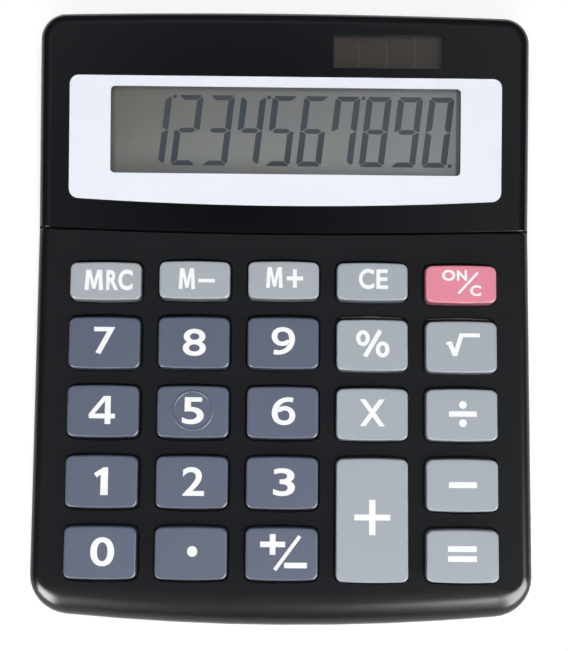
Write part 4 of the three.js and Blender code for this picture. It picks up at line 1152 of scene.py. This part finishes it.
def make_feet(materials):
    low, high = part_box("foot_front_left")
    radius = (high.x - low.x) / 2
    foot = disc("foot", 0, 0, radius, 0, high.z, 64)
    edit(foot)
    pick_level(foot, 0)
    bevel(FOOT_EDGE, 4)
    pick_facing(foot, -1)
    for reach in (FOOT_RIM, FOOT_STEP):
        bpy.ops.mesh.inset(thickness=reach)
    bpy.ops.transform.translate(value=(0, 0, FOOT_STEP))
    leave()
    smooth(foot, 40)
    for side in CORNERS:
        low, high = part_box("foot_" + side)
        twin = copy_of(foot, "rubber_foot_" + side)
        place(twin, Matrix.Translation(((low.x + high.x) / 2, (low.y + high.y) / 2, 0)))
        dress(twin, materials["foot"], "case", ["foot_" + side])
    bpy.data.objects.remove(foot)


def make_screws(materials):
    low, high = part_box("case_screw_front_left")
    long = high.z - low.z
    screw = disc("screw", 0, 0, HEAD_RADIUS, 0, HEAD_HEIGHT, 40)
    edit(screw)
    pick_level(screw, 0)
    bevel(HEAD_EDGE, 4)
    pick_facing(screw, 1)
    bpy.ops.mesh.inset(thickness=HEAD_RADIUS - SHANK_RADIUS)
    extrude(long - HEAD_HEIGHT - SHANK_RADIUS)
    extrude(SHANK_RADIUS)
    resize((TIP_SHARE, TIP_SHARE, 1))
    leave()
    for x, y in ((CROSS_REACH, CROSS_HALF), (CROSS_HALF, CROSS_REACH)):
        tool = block("tool", (-x, -y, CROSS_START), (x, y, CROSS_DEPTH))
        edit(tool)
        pick_facing(tool, 1)
        resize((CROSS_TAPER, CROSS_TAPER, 1))
        leave()
        cut_away(screw, tool)
    smooth(screw)
    for side in CORNERS:
        low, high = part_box("case_screw_" + side)
        twin = copy_of(screw, "screw_" + side)
        place(twin, Matrix.Translation(((low.x + high.x) / 2, (low.y + high.y) / 2, low.z)))
        dress(twin, materials["steel"], "case", ["case_screw_" + side])
    bpy.data.objects.remove(screw)


NODE_FINISHES = {
    "key_mat": "mat",
    "circuit_board": "board",
    "chip_blob": "chip",
    "lcd_front_glass": "glass",
    "lcd_rear_glass": "glass",
    "lcd_reflector": "reflector",
    "lcd_ribbon": "ribbon",
    "button_cell": "nickel",
    "battery_contact_plus": "nickel",
    "battery_contact_minus": "nickel",
    "battery_wire_plus": "red_wire",
    "battery_wire_minus": "black_wire",
    "solar_wire_plus": "red_wire",
    "solar_wire_minus": "black_wire",
    **{"board_screw_%d" % number: "steel" for number in range(1, 7)},
}


def finish_nodes(materials):
    """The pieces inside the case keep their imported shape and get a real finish."""
    for name, finish in NODE_FINISHES.items():
        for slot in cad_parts[name].material_slots:
            slot.material = materials[finish]


# Table, light and camera

# The camera that the perspective of the keys gives: place, angles in degrees, lens in mm
CAMERA_PLACE = (-3.4 * MM, -68.8 * MM, 350 * MM)
CAMERA_TILT = 11.149
CAMERA_ROLL = -0.7
CAMERA_TURN = 0.544
CAMERA_LENS = 103.78
SENSOR_WIDTH = 36
# The room's brightness by the distance from its darkest way. The opposite way lies at 1.
DARKEST_WAY = (-0.02, -0.1, 0.995)
ROOM_LEVELS = (
    (0.0, 0.0), (0.04, 0.15), (0.08, 0.37), (0.12, 0.48),
    (0.18, 0.38), (0.26, 0.25), (0.4, 0.13), (0.7, 0.08),
)
FRONT = 270
SOFT_DISTANCE = 1.2
GLINT_DISTANCE = 0.9
# Name, elevation, size and power
SOFT_LAMPS = (("overhead_scrim", 80, 0.4, 9.6), ("front_scrim", 42, 0.5, 2.2))
# Name, compass direction, elevation, size and power
GLINT_LAMPS = (
    ("glint_lamp_left", 232, 21, 0.5, 19),
    ("glint_lamp_right", 316, 27, 0.8, 36),
)
TABLE_SIZE = 6
TABLE_GLOW = 0.3


def make_camera():
    camera = bpy.data.objects.new("camera", bpy.data.cameras.new("camera"))
    bpy.context.scene.collection.objects.link(camera)
    turn = Matrix.Rotation(math.radians(CAMERA_TURN), 4, "Z")
    tilt = Matrix.Rotation(math.radians(CAMERA_TILT), 4, "X")
    roll = Matrix.Rotation(math.radians(CAMERA_ROLL), 4, "Y")
    camera.matrix_world = Matrix.Translation(CAMERA_PLACE) @ turn @ tilt @ roll
    camera.data.sensor_fit = "HORIZONTAL"
    camera.data.sensor_width = SENSOR_WIDTH
    camera.data.lens = CAMERA_LENS
    camera.data.clip_start = 0.01
    bpy.context.scene.camera = camera


def make_softbox(name, azimuth, elevation, distance, size, power):
    """A square lamp that looks at the object's middle from a direction in degrees."""
    lamp = bpy.data.lights.new(name, "AREA")
    lamp.shape = "SQUARE"
    lamp.size, lamp.energy = size, power
    holder = bpy.data.objects.new(name, lamp)
    bpy.context.scene.collection.objects.link(holder)
    around, up = math.radians(azimuth), math.radians(elevation)
    way = Vector((math.cos(around) * math.cos(up), math.sin(around) * math.cos(up), math.sin(up)))
    holder.location = way * distance
    holder.rotation_euler = way.to_track_quat("Z", "Y").to_euler()
    return holder


def make_lamps():
    """Scrims overhead and in front give the even light. Two lamps near the table give only glints."""
    for name, elevation, size, power in SOFT_LAMPS:
        lamp = make_softbox(name, FRONT, elevation, SOFT_DISTANCE, size, power)
        lamp.visible_glossy = False
    for name, azimuth, elevation, size, power in GLINT_LAMPS:
        lamp = make_softbox(name, azimuth, elevation, GLINT_DISTANCE, size, power)
        lamp.visible_diffuse = False


def make_world():
    """A pale room, darker overhead where the camera hangs."""
    world = bpy.data.worlds.new("room")
    bpy.context.scene.world = world
    world.use_nodes = True
    tree = world.node_tree
    tree.nodes.clear()
    way = add(tree, "TexCoord").outputs["Generated"]
    away = add(tree, "VectorMath", {0: way, 1: DARKEST_WAY}, operation="DISTANCE")
    share = add(tree, "Math", {0: away.outputs["Value"], 1: 0.5}, operation="MULTIPLY")
    ramp = add(tree, "ValToRGB", {"Fac": share.outputs[0]})
    stops = ramp.color_ramp.elements
    stops.remove(stops[0])
    stops[0].position, stops[0].color = ROOM_LEVELS[0][0], [ROOM_LEVELS[0][1]] * 3 + [1]
    for position, level in ROOM_LEVELS[1:]:
        stops.new(position).color = [level] * 3 + [1]
    back = add(tree, "Background", {"Color": ramp.outputs[0], "Strength": 1.0})
    add(tree, "OutputWorld", {"Surface": back.outputs[0]})


def make_floor():
    """A pale table top that looks white to the camera and in reflections, and keeps the shadow."""
    bpy.ops.object.select_all(action="DESELECT")
    bpy.ops.mesh.primitive_plane_add(size=TABLE_SIZE)
    floor = bpy.context.object
    floor.name = "table_top"
    material, tree = new_material("white_laminate")
    place_on = add(tree, "TexCoord").outputs["Object"]
    clouds = noise(tree, place_on, 125 * MM, 2.0).outputs["Fac"]
    tone = blend(tree, clouds, linear("#e6e6e6"), linear("#eaeaea"))
    matt = add(tree, "BsdfDiffuse", {"Color": tone})
    path = add(tree, "LightPath").outputs
    seen = path["Is Camera Ray"]
    for ray in ("Is Glossy Ray", "Is Transmission Ray"):
        seen = add(tree, "Math", {0: seen, 1: path[ray]}, operation="MAXIMUM").outputs[0]
    lift = add(tree, "Math", {0: seen, 1: TABLE_GLOW}, operation="MULTIPLY")
    glow = add(tree, "Emission", {"Color": (1, 1, 1, 1), "Strength": lift.outputs[0]})
    finish_with(tree, add(tree, "AddShader", {0: matt.outputs[0], 1: glow.outputs[0]}))
    floor.data.materials.append(material)


make_camera()
materials = make_materials()
make_case(materials)
make_panel(materials)
make_keys(materials)
make_display(materials)
make_solar(materials)
make_feet(materials)
make_screws(materials)
finish_nodes(materials)
make_floor()
make_world()
make_lamps()
bpy.context.scene.view_settings.view_transform = "Standard"
